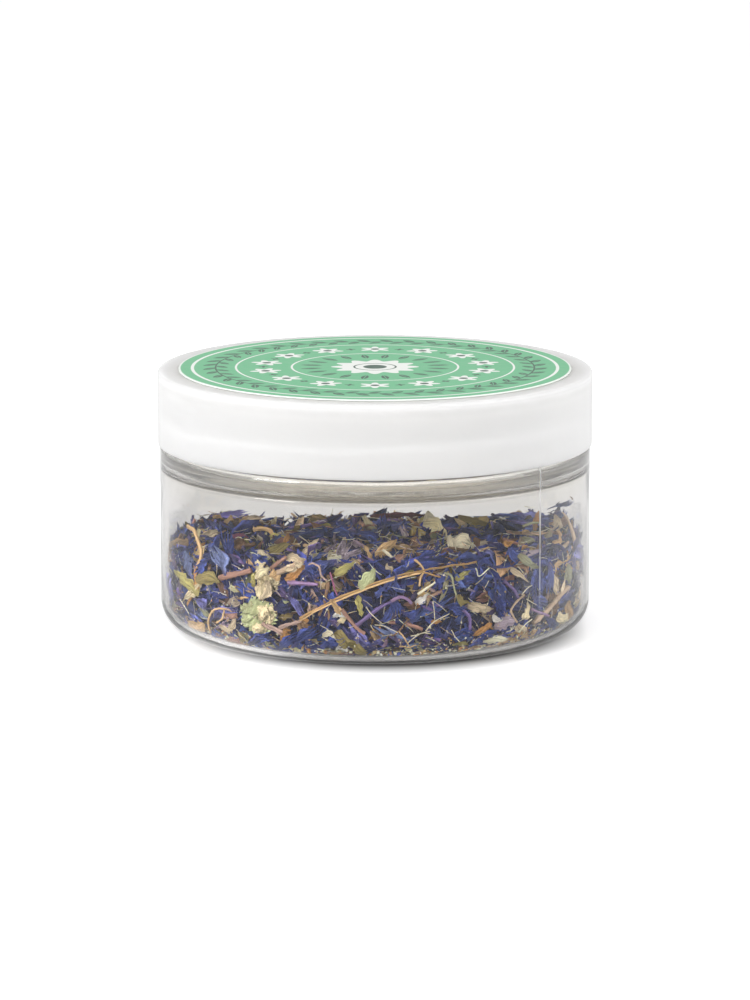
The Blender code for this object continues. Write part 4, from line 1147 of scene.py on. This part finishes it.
def wallScatter(template, draw, count, form, start):
    # Against the wall, set back wherever a piece that stands out is in front.
    points = bentCopies(template, draw, count, form)
    aroundShare, upShare = spreadShares(count, start)
    angle = (aroundShare * math.tau)[:, None]
    edge = scatterForm["heapEdge"]
    top = heapHeight(edge * np.cos(angle), edge * np.sin(angle))
    low, high = form.get("band", (0.0, 1.0))
    lowest = bedForm["cornerRound"] * scatterForm["bottom"]
    along = lowest + (upWall(top - 1.2) - lowest) * (low + (high - low) * upShare[:, None])
    deep = draw.uniform(*form["depth"], (count, 1))
    turn = draw.normal(0, form.get("scatterTurn", 0.9), (count, 1))
    turn = turn + draw.choice((0, math.pi), (count, 1)) + math.pi / 2
    half = draw.uniform(*form["length"], (count, 1)) * 0.33
    nearest = np.full((count, 1), 99.0)
    for reach in (-1, 0, 1):
        across = ((angle + math.pi) % math.tau - math.pi) * bedForm["lines"] - reach * half * np.sin(turn)
        up = along + reach * half * np.cos(turn)
        gaps = np.hypot(across - covered[:, 0], up - covered[:, 1]) - covered[:, 2]
        nearest = np.minimum(nearest, gaps.min(axis=1, keepdims=True))
    room = scatterForm["roomAround"]
    deep = deep + np.clip(room - nearest, 0, room) / room * form.get("makeRoom", 2.0)
    points = spun(tipped(points, draw, form), 2, turn)
    highest = upWall(top + draw.uniform(-0.9, 1.1, (count, 1))) - points[..., 1].max(axis=1, keepdims=True)
    along = np.minimum(along, highest)
    points = onWall(angle + points[..., 0] / edge, along + points[..., 1], points[..., 2] - deep)
    return keptInside(points, draw.uniform(*form.get("gap", (0.1, 0.7)), (count, 1)) + np.minimum(deep, 2) * 0.4)


def roundAbout(count, reach, start):
    aroundShare, outShare = spreadShares(count, start)
    radius, angle = reach * np.sqrt(outShare)[:, None], (aroundShare * math.tau)[:, None]
    return radius * np.cos(angle), radius * np.sin(angle)


def topScatter(template, draw, count, form, start):
    points = tipped(bentCopies(template, draw, count, form), draw, form)
    x, y = roundAbout(count, scatterForm["topReach"], start)
    points = spun(points, 2, draw.uniform(0, math.tau, (count, 1)))
    points[..., 2] -= points[..., 2].max(axis=1, keepdims=True)
    height = heapHeight(x, y) + draw.uniform(*form.get("rise", (-2.4, 0.4)), (count, 1))
    return keptInside(points + np.stack([x, y, height], axis=-1), draw.uniform(0.1, 0.8, (count, 1)))


def floorScatter(template, draw, count, form, start):
    points = bentCopies(template, draw, count, form)
    x, y = roundAbout(count, scatterForm["floorReach"], start)
    points = spun(points, 2, draw.uniform(0, math.tau, (count, 1)))
    height = bedForm["floor"] + draw.uniform(0.5, 2.2, (count, 1))
    return keptInside(points + np.stack([x, y, height], axis=-1), draw.uniform(0.1, 0.8, (count, 1)))


petalForm = {
    "length": (6.5, 11.5), "width": (2.0, 3.8), "roll": (0.3, 2.6), "bend": (0.1, 1.1), "twist": (0, 1.2),
    "sway": (0, 0.09), "crumple": 0.34, "crumpleSize": 4.5, "depth": (0.4, 3.4), "lean": 0.42,
}
starForm = {
    "length": (7.5, 10.5), "width": (5.5, 8.0), "roll": (0, 0.2), "bend": (0.1, 0.7), "twist": (0, 1.0),
    "crumple": 0.35, "crumpleSize": 4.0, "depth": (1.0, 3.6), "lean": 0.9, "thick": 0.45,
}
bractForm = {
    "length": (4.0, 8.0), "width": (1.6, 3.4), "roll": (0.4, 2.2), "bend": (0.1, 1.2), "twist": (0, 0.9),
    "sway": (0, 0.06), "crumple": 0.3, "crumpleSize": 3.6, "depth": (0.4, 3.2), "lean": 0.5, "ragged": 0.2,
}
stalkForm = {
    "length": (4.5, 11.0), "width": (0.5, 1.0), "roll": (0, 0.01), "bend": (0.05, 0.9), "sway": (0, 0.08),
    "crumple": 0.12, "crumpleSize": 5.0, "depth": (0.5, 3.0), "lean": 0.35,
}
hairForm = {
    "length": (1.5, 4.2), "width": (0.14, 0.24), "roll": (0, 0.01), "bend": (0.05, 0.9), "sway": (0, 0.08),
    "crumple": 0.05, "crumpleSize": 3.0, "depth": (0.1, 1.0), "lean": 0.3, "makeRoom": 0.3, "scatterTurn": 1.2,
}
crumbForm = {
    "length": (0.25, 0.75), "width": (0.22, 0.5), "roll": (0, 0.01), "bend": (0, 0.01), "crumple": 0.06,
    "crumpleSize": 1.0, "depth": (0.05, 1.2), "lean": 1.5, "makeRoom": 0.2,
}
blueShares = {"blue": 40, "deepBlue": 26, "navy": 15, "brightBlue": 13, "violetBlue": 6, "greyBlue": 6, "violet": 6}
fadedShares = {"mauveGrey": 5, "greyBlue": 4, "beige": 4, "roseBrown": 3, "violet": 3, "paleBrown": 3}
leafShares = {
    "tan": 5, "beige": 7, "brown": 5, "orangeTan": 3, "olive": 4, "pale": 4, "greyGreen": 3, "limeOlive": 1,
    "roseBrown": 3,
}
stalkShares = {"tan": 5, "roseBrown": 4, "violet": 3, "paleBrown": 3, "violetPink": 2, "brown": 3, "paleRose": 1}
hairShares = {"cream": 6, "white": 2, "pale": 4, "tan": 1}
crumbShares = {"cream": 6, "pale": 5, "orangeTan": 4, "tan": 4, "brightBlue": 2, "brown": 2}


def group(scatter, kind, count, form, shares, start, **change):
    points = scatter(templates[kind], draw, count, {**form, **change}, start)
    return templates[kind], points, mixedTints(draw, count, shares)


lowDown = {
    "depth": (0.05, 1.8), "gap": (0.02, 0.12), "makeRoom": 0.6, "roll": (0.2, 0.9), "bend": (0.0, 0.3), "lean": 0.1,
}
assembled("wallPetals", [
    group(wallScatter, "petal", 700, petalForm, blueShares, 0, length=(7.5, 12.5), width=(2.6, 4.8)),
    group(wallScatter, "slimPetal", 420, petalForm, blueShares, 300, width=(1.3, 2.6)),
    group(wallScatter, "petal", 120, petalForm, blueShares, 33, band=(0.0, 0.17), length=(5, 9), **lowDown),
], petalCover, draw)
topPetals = assembled("topPetals", [
    group(topScatter, "petal", 520, petalForm, blueShares, 40, length=(7.5, 12.5), width=(2.8, 4.8), lean=0.9),
    group(topScatter, "slimPetal", 240, petalForm, blueShares, 900, width=(1.3, 2.6), lean=0.8),
    group(topScatter, "slimPetal", 10, petalForm, blueShares, 77, width=(0.9, 1.6), rise=(0.2, 1.0), lean=0.9),
], petalCover, draw)
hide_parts("florets")
assembled("floorPetals", [
    group(floorScatter, "petal", 330, petalForm, blueShares, 15, roll=(0.2, 0.9), bend=(0.0, 0.3)),
    group(floorScatter, "slimPetal", 120, petalForm, fadedShares, 55, width=(1.4, 2.6), roll=(0.2, 0.9)),
], petalCover, draw)
assembled("starFlorets", [
    group(wallScatter, "star", 150, starForm, blueShares | fadedShares, 21),
    group(topScatter, "star", 70, starForm, blueShares | fadedShares, 5, rise=(-3.0, -0.4)),
], petalCover, draw)
assembled("fadedPetals", [
    group(wallScatter, "slimPetal", 170, petalForm, fadedShares, 61, width=(1.2, 2.6)),
    group(topScatter, "slimPetal", 110, petalForm, fadedShares, 19, width=(1.2, 2.6), lean=0.8),
], petalCover, draw)
assembled("bracts", [
    group(wallScatter, "bract", 330, bractForm, leafShares, 9),
    group(wallScatter, "bract", 130, bractForm, leafShares, 66, band=(0.0, 0.15), **lowDown),
    group(topScatter, "bract", 260, bractForm, leafShares, 33, length=(5, 9), width=(2.0, 4.0), lean=0.9),
    group(topScatter, "bract", 10, bractForm, leafShares, 3, rise=(0.2, 1.0), lean=0.8, width=(1.0, 2.0)),
    group(floorScatter, "bract", 120, bractForm, leafShares, 71),
], leafCover, draw)
assembled("stalkBits", [
    group(wallScatter, "stalk", 150, stalkForm, stalkShares, 13),
    group(topScatter, "stalk", 70, stalkForm, stalkShares, 47, lean=0.3),
    group(floorScatter, "stalk", 40, stalkForm, stalkShares, 7),
], stalkCover, draw)
assembled("paleHairs", [
    group(wallScatter, "hair", 620, hairForm, hairShares, 27),
    group(topScatter, "hair", 240, hairForm, hairShares, 11, rise=(-0.6, 0.7), lean=0.35),
], stalkCover, draw)
assembled("crumbs", [
    group(wallScatter, "crumb", 900, crumbForm, crumbShares, 2),
    group(wallScatter, "crumb", 900, crumbForm, crumbShares, 500, band=(0.0, 0.3)),
    group(wallScatter, "crumb", 700, crumbForm, crumbShares, 90, band=(0.0, 0.13), length=(0.6, 2.0),
          width=(0.4, 1.0)),
    group(floorScatter, "crumb", 260, crumbForm, crumbShares, 1),
], stalkCover, draw)
print("loose pieces made")


# The inside of the heap, seen only through its gaps, coloured near black as painted shade.

coreForm = {"wall": 41.8, "floor": 2.4, "corner": 38.4, "round": 3.4, "sunk": 2.7, "steps": 180}


def paintedShadeCore():
    material, tree, shader = newMaterial("paintedShadeCore")
    mottle = noise(tree, place(tree), 520, 4, 0.7)
    # Painted shade: near-black colours, darker than the pieces' own, for the shade deep in the heap.
    shades = [
        (0.34, (0.006, 0.007, 0.02)), (0.48, (0.018, 0.024, 0.085)),
        (0.58, (0.05, 0.035, 0.04)), (0.68, (0.012, 0.012, 0.03)),
    ]
    feed(tree, shader, "Base Color", ramp(tree, mottle, shades))
    feed(tree, shader, "Roughness", between(tree, mottle, 0.3, 0.7, 0.75, 0.9, "LINEAR"))
    shader.inputs["Specular IOR Level"].default_value = 0.2
    bump(tree, shader, mottle, 0.0012, 0.8)
    return material


def coreOutline():
    d = coreForm
    outline = straight((0, d["floor"]), (d["corner"] - 0.5, d["floor"]), 20)
    outline += arc(d["corner"], d["floor"] + d["round"], d["round"], -90, 0, 6)
    outline += straight((d["wall"], d["floor"] + d["round"] + 1), (d["wall"], 12), 5)
    return outline + straight((d["wall"] - 1, 14), (0, 14), 40)


coreMesh = turned("bedCore", coreOutline(), coreForm["steps"])
points = readPoints(coreMesh)
surface = heapHeight(points[:, 0], points[:, 1]) - coreForm["sunk"]
rim = np.clip((np.hypot(points[:, 0], points[:, 1]) - 34) / 7, 0, 1)
points[:, 2] = np.where(points[:, 2] > 13.5, surface - 1.5 * rim**2, points[:, 2])
points += 0.45 * np.sin(points[:, [1, 2, 0]] * 1.4) * np.sin(points[:, [2, 0, 1]] * 0.9 + 1)
writePoints(coreMesh, points)
addPiece("bedCore", coreMesh, "jar", paintedShadeCore())
print("core made")


# The single pieces that the solids stand for, in fine detail.

def strokes(pieces, draw, depths, bows=(0.1, 0.4), crumple=0.2):
    # Pieces laid on the wall along lines of (angle, height), as those that stand out are.
    groups = []
    for kind, tint, width, line in pieces:
        template = templates[fineKinds[kind]]
        bow = draw.uniform(*bows) if kind in ("bract", "petal") else 0.0
        flatPlace, out = laidAlong(template, wallLine(line), width, bow, draw)
        points = onWall(flatPlace[:, 0] / bedForm["lines"], flatPlace[:, 1], out - draw.uniform(*depths))
        points = crumpled(points[None], draw, crumple, 3.0)
        groups.append((template, keptInside(points, 0.02), np.array([tints[tint]]) * draw.uniform(0.9, 1.12)))
    return groups


def roundTemplate(around, rings, wave, waves, ragged, ribs, dome):
    # A disc in its own plane: across, up and out, a unit in radius.
    shape = bmesh.new()
    bmesh.ops.create_grid(shape, x_segments=around, y_segments=rings, size=0.5)
    for vert in shape.verts:
        turn, reach = (vert.co.x + 0.5) * math.tau, 0.03 + 0.97 * (vert.co.y + 0.5)
        column = round((vert.co.x + 0.5) * around) % around
        edge = reach + reach**2 * (wave * math.cos(waves * turn) + ragged * (column % 2 - 0.5))
        out = dome * (1 - reach * reach) + ribs * reach * math.cos(turn * around / 2)
        vert.co = (edge * math.cos(turn), edge * math.sin(turn), out)
    bmesh.ops.remove_doubles(shape, verts=shape.verts, dist=1e-4)
    flat = flatPoints(shape)
    turns = np.arctan2(flat[:, 1], flat[:, 0]) / math.tau + 0.5
    return asTemplate(shape, flat, turns * 5, np.hypot(flat[:, 0], flat[:, 1]) * 0.9)


def setOnWall(template, centre, size, depth, draw, crumple, crumpleSize, tint, shade=1.0):
    flat = template["points"]
    angle, height = centre
    turn = math.radians(angle) + flat[:, 0] * size[0] / bedForm["lines"]
    points = onWall(turn, upWall(height) + flat[:, 1] * size[1], flat[:, 2] * size[2] - depth)
    points = crumpled(points[None], draw, crumple, crumpleSize)
    return template, keptInside(points, 0.03), np.array([tints[tint]]) * shade


draw = np.random.default_rng(23)
strawLine = [
    (-110.2, 9.6), (-105.7, 11.9), (-100.5, 14.0), (-94.0, 16.3), (-86.8, 18.4), (-80.6, 19.6), (-73.0, 20.4),
    (-62.2, 20.9),
]
strands = [
    ("stalk", "goldTan", 0.5, [(angle, height + 0.24) for angle, height in strawLine]),
    ("stalk", "tan", 0.46, [(angle, height - 0.22) for angle, height in strawLine[:6]] + [(-78.0, 19.7)]),
    ("stalk", "goldTan", 0.42, [(-82.0, 19.2), (-78.5, 19.9), (-75.0, 19.3), (-72.5, 18.6)]),
]
strands = strokes(strands, draw, (0.35, 0.45), crumple=0.04)
longStraw = assembled("longStraw", strands, stalkCover, draw)
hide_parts("long_straw")

stalkLines = [
    ("stalk", "paleBrown", 1.15, [(-42, 6.2), (-36, 8.2), (-30, 10.2), (-24, 11.5)]),
    ("bract", "beige", 1.4, [(-29, 10.4), (-27.5, 12.0), (-27.0, 13.6)]),
]
stalkPieces = strokes(stalkLines, draw, (0.7, 0.8), crumple=0.06)
shortStalk = assembled("shortStalk", stalkPieces, stalkCover, draw)
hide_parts("short_stalk")

curlForm = {
    "foot": 13.5, "rise": 11.0, "bend": 150, "radius": 43.4, "curlIn": 2.0, "width": 1.1, "turn": -13, "sweep": 9,
    "turnRadius": 43,
}


def curledCopies():
    # Stands up from the bed at the right and curls in.
    d, template = curlForm, templates["fineStalk"]
    flat = template["points"]
    share = flat[:, 1]
    bend = share * math.radians(d["bend"])
    width = d["width"] * (1 - 0.5 * share)
    radius = d["radius"] - d["curlIn"] * (1 - np.cos(bend)) + flat[:, 2] * width
    angle = np.radians(d["turn"] + d["sweep"] * share) + flat[:, 0] * width / d["turnRadius"]
    height = d["foot"] + d["rise"] * np.sin(bend * 0.62)
    points = np.stack([radius * np.cos(angle), radius * np.sin(angle), height], axis=-1)[None]
    return template, points, np.array([tints["paleBrown"]])


curled = assembled("curledStalk", [curledCopies()], stalkCover, draw)
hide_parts("curled_stalk")

fringe = roundTemplate(72, 12, wave=0.07, waves=7, ragged=0.14, ribs=0.05, dome=-0.10)
heart = roundTemplate(48, 12, wave=0.08, waves=5, ragged=0.05, ribs=0.06, dome=0.75)
basePieces = [
    setOnWall(fringe, (-123.2, 9.4), (4.3, 3.75, 1.3), 0.75, draw, 0.2, 1.5, "paleGreen"),
    setOnWall(heart, (-120.6, 9.8), (2.3, 2.2, 1.3), 0.95, draw, 0.3, 1.0, "pale"),
    setOnWall(heart, (-122.8, 6.7), (2.0, 1.1, 0.8), 0.8, draw, 0.25, 1.0, "pale"),
]
baseLines = [("stalk", "paleRose", 0.8, [(-121.4, 8.0), (-119.2, 7.2), (-117.3, 6.9), (-115.3, 6.0)])]
basePieces += strokes(baseLines, draw, (0.4, 0.5), crumple=0.05)
flowerBase = assembled("flowerBase", basePieces, leafCover, draw)
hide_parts("flower_base")

headLines = [
    ("bract", "pale", 3.0, [(-121.6, 16.4), (-121.8, 14.4), (-121.6, 12.6)]),
    ("bract", "beige", 2.6, [(-119.6, 16.8), (-120.2, 14.8), (-121.4, 13.2)]),
    ("bract", "pale", 2.2, [(-123.2, 17.4), (-121.6, 18.8), (-119.4, 19.9)]),
    ("bract", "tan", 1.6, [(-118.0, 17.6), (-117.2, 18.8), (-117.8, 19.8)]),
    ("bract", "limeOlive", 1.5, [(-123.9, 15.6), (-124.4, 17.2), (-123.6, 18.6)]),
]
headPieces = [
    setOnWall(heart, (-121.3, 17.1), (2.7, 2.6, 1.5), 1.9, draw, 0.35, 1.1, "pale"),
    setOnWall(heart, (-118.9, 16.6), (1.5, 1.9, 1.0), 1.5, draw, 0.3, 1.0, "pale", 0.85),
]
headPieces += strokes(headLines, draw, (0.4, 1.0), (0.1, 0.3), 0.3)
seedHead = assembled("seedHead", headPieces, leafCover, draw)
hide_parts("seed_head")

clusterLines = [
    ("bract", "limeOlive", 2.9, [(-145.1, 11.6), (-152.3, 13.0), (-160.5, 14.4)]),
    ("bract", "olive", 2.9, [(-146.0, 14.4), (-140.4, 15.7), (-135.3, 15.4)]),
    ("bract", "pale", 2.6, [(-143.5, 14.8), (-147.6, 12.2), (-154.4, 8.7)]),
    ("bract", "orangeTan", 1.7, [(-145.6, 11.4), (-146.5, 14.2), (-147.6, 17.3)]),
    ("bract", "tan", 1.6, [(-149.5, 12.4), (-145.5, 14.2), (-142.6, 16.4)]),
    ("bract", "orangeTan", 1.4, [(-147.0, 14.0), (-150.5, 10.6), (-151.5, 8.2)]),
]
clusterPieces = strokes(clusterLines, draw, (0.3, 0.9))
cluster = assembled("bractCluster", clusterPieces, leafCover, draw)
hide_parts("bract_cluster")
print("single pieces made")


# Camera, light and floor.

studio = {
    "distance": 1.020,
    "tilt": 10.93,
    "aim": 0.0265,
    "lens": 172.7,
    "sensor": 36,
    "sky": [(0.15, (0.88, 0.88, 0.88)), (1.0, (0.66, 0.66, 0.665))],
    "lights": [
        ("keyLight", (0.5, 0.5), 8.7, (-0.85, -0.60, 0.42)),
        ("fillLight", (0.8, 0.8), 5.9, (0.95, -0.45, 0.42)),
        ("frontLight", (0.6, 0.4), 3.0, (0.15, -1.2, 0.4)),
    ],
    "lightAim": (0, 0, 0.03),
    "floorDrop": 0.00005,
    "floorGrey": [(0.3, (0.86, 0.86, 0.86)), (0.7, (0.88, 0.88, 0.88))],
    "cardGrey": (0.40, 0.40, 0.40),
}


def addCamera():
    camera = bpy.data.objects.new("camera", bpy.data.cameras.new("camera"))
    scene.collection.objects.link(camera)
    scene.camera = camera
    camera.data.lens = studio["lens"]
    camera.data.sensor_width = studio["sensor"]
    camera.data.clip_start, camera.data.clip_end = 0.05, 50
    tilt, away = math.radians(studio["tilt"]), studio["distance"]
    camera.location = (0, -away * math.cos(tilt), studio["aim"] + away * math.sin(tilt))
    camera.rotation_euler = (math.pi / 2 - tilt, 0, 0)


def addLight(name, size, power, spot):
    lamp = bpy.data.lights.new(name, "AREA")
    lamp.shape = "RECTANGLE"
    lamp.size, lamp.size_y = size
    lamp.energy = power
    item = bpy.data.objects.new(name, lamp)
    scene.collection.objects.link(item)
    item.location = spot
    item.rotation_euler = (item.location - Vector(studio["lightAim"])).to_track_quat("Z", "Y").to_euler()


def addSky():
    world = bpy.data.worlds.new("studio")
    scene.world = world
    world.use_nodes = True
    tree = world.node_tree
    tree.nodes.clear()
    up = put(tree, "SeparateXYZ", {0: place(tree, "Generated")}).outputs[2]
    sky = ramp(tree, between(tree, up, -0.2, 1.0, 0, 1, "LINEAR"), studio["sky"])
    backdrop = put(tree, "Background", {"Color": sky, "Strength": 1.0})
    tree.links.new(backdrop.outputs[0], tree.nodes.new("ShaderNodeOutputWorld").inputs["Surface"])


def floorPaper():
    material, tree, shader = newMaterial("floorPaper")
    where = place(tree)
    wide = noise(tree, where, 4, 2)
    seen = put(tree, "LightPath", {}).outputs["Is Camera Ray"]
    # Painted shadow: for the camera the floor is darkened in a ring round the base, where hardly any light gets in.
    paintedContactShadow = between(tree, far(tree, where, (0.002, -0.009, 0)), 0.0325, 0.0435, 0.14, 1.3, "LINEAR")
    # A grey card lies in front of the jar and another at its left, both out of view.
    x, y, _ = put(tree, "SeparateXYZ", {0: where}).outputs
    aside = calc(tree, "ABSOLUTE", calc(tree, "SUBTRACT", x, 0.0025))
    ahead = calc(tree, "ABSOLUTE", calc(tree, "ADD", y, 0.15))
    card = times(tree, between(tree, aside, 0.152, 0.222, 1, 0), between(tree, ahead, 0.095, 0.12, 1, 0))
    atLeft = between(tree, far(tree, where, (-0.145, 0.0, 0)), 0.055, 0.095, 1, 0)
    grey = ramp(tree, wide, studio["floorGrey"])
    grey = mixColour(tree, calc(tree, "MAXIMUM", card, atLeft), grey, studio["cardGrey"])
    feed(tree, shader, "Base Color", mixColour(tree, seen, grey, alike(tree, paintedContactShadow)))
    feed(tree, shader, "Roughness", between(tree, wide, 0.3, 0.7, 0.85, 0.95, "LINEAR"))
    shader.inputs["Specular IOR Level"].default_value = 0.0
    shader.inputs["Emission Color"].default_value = (1, 1, 1, 1)
    # Painted light: out of the camera's view the paper glows, for the light of the room beyond, and a little under
    # the jar's left corner.
    room = between(tree, far(tree, where, (0, 0, 0)), 0.12, 0.3, 0.0, 0.22)
    corner = between(tree, far(tree, where, (-0.030, -0.026, 0)), 0.006, 0.024, 0.5, 0.0)
    paintedGlow = times(tree, calc(tree, "ADD", room, corner), calc(tree, "SUBTRACT", 1.0, seen))
    feed(tree, shader, "Emission Strength", paintedGlow)
    return material


def addFloor():
    shape = bmesh.new()
    lowered = Matrix.Translation((0, 0, -studio["floorDrop"]))
    bmesh.ops.create_grid(shape, x_segments=8, y_segments=8, size=8, matrix=lowered)
    mesh = finishMesh("floor", shape)
    floor = bpy.data.objects.new("floor", mesh)
    scene.collection.objects.link(floor)
    mesh.materials.append(floorPaper())


addCamera()
for light in studio["lights"]:
    addLight(*light)
addSky()
addFloor()
scene.view_settings.view_transform = "Standard"
print("camera, light and floor made")
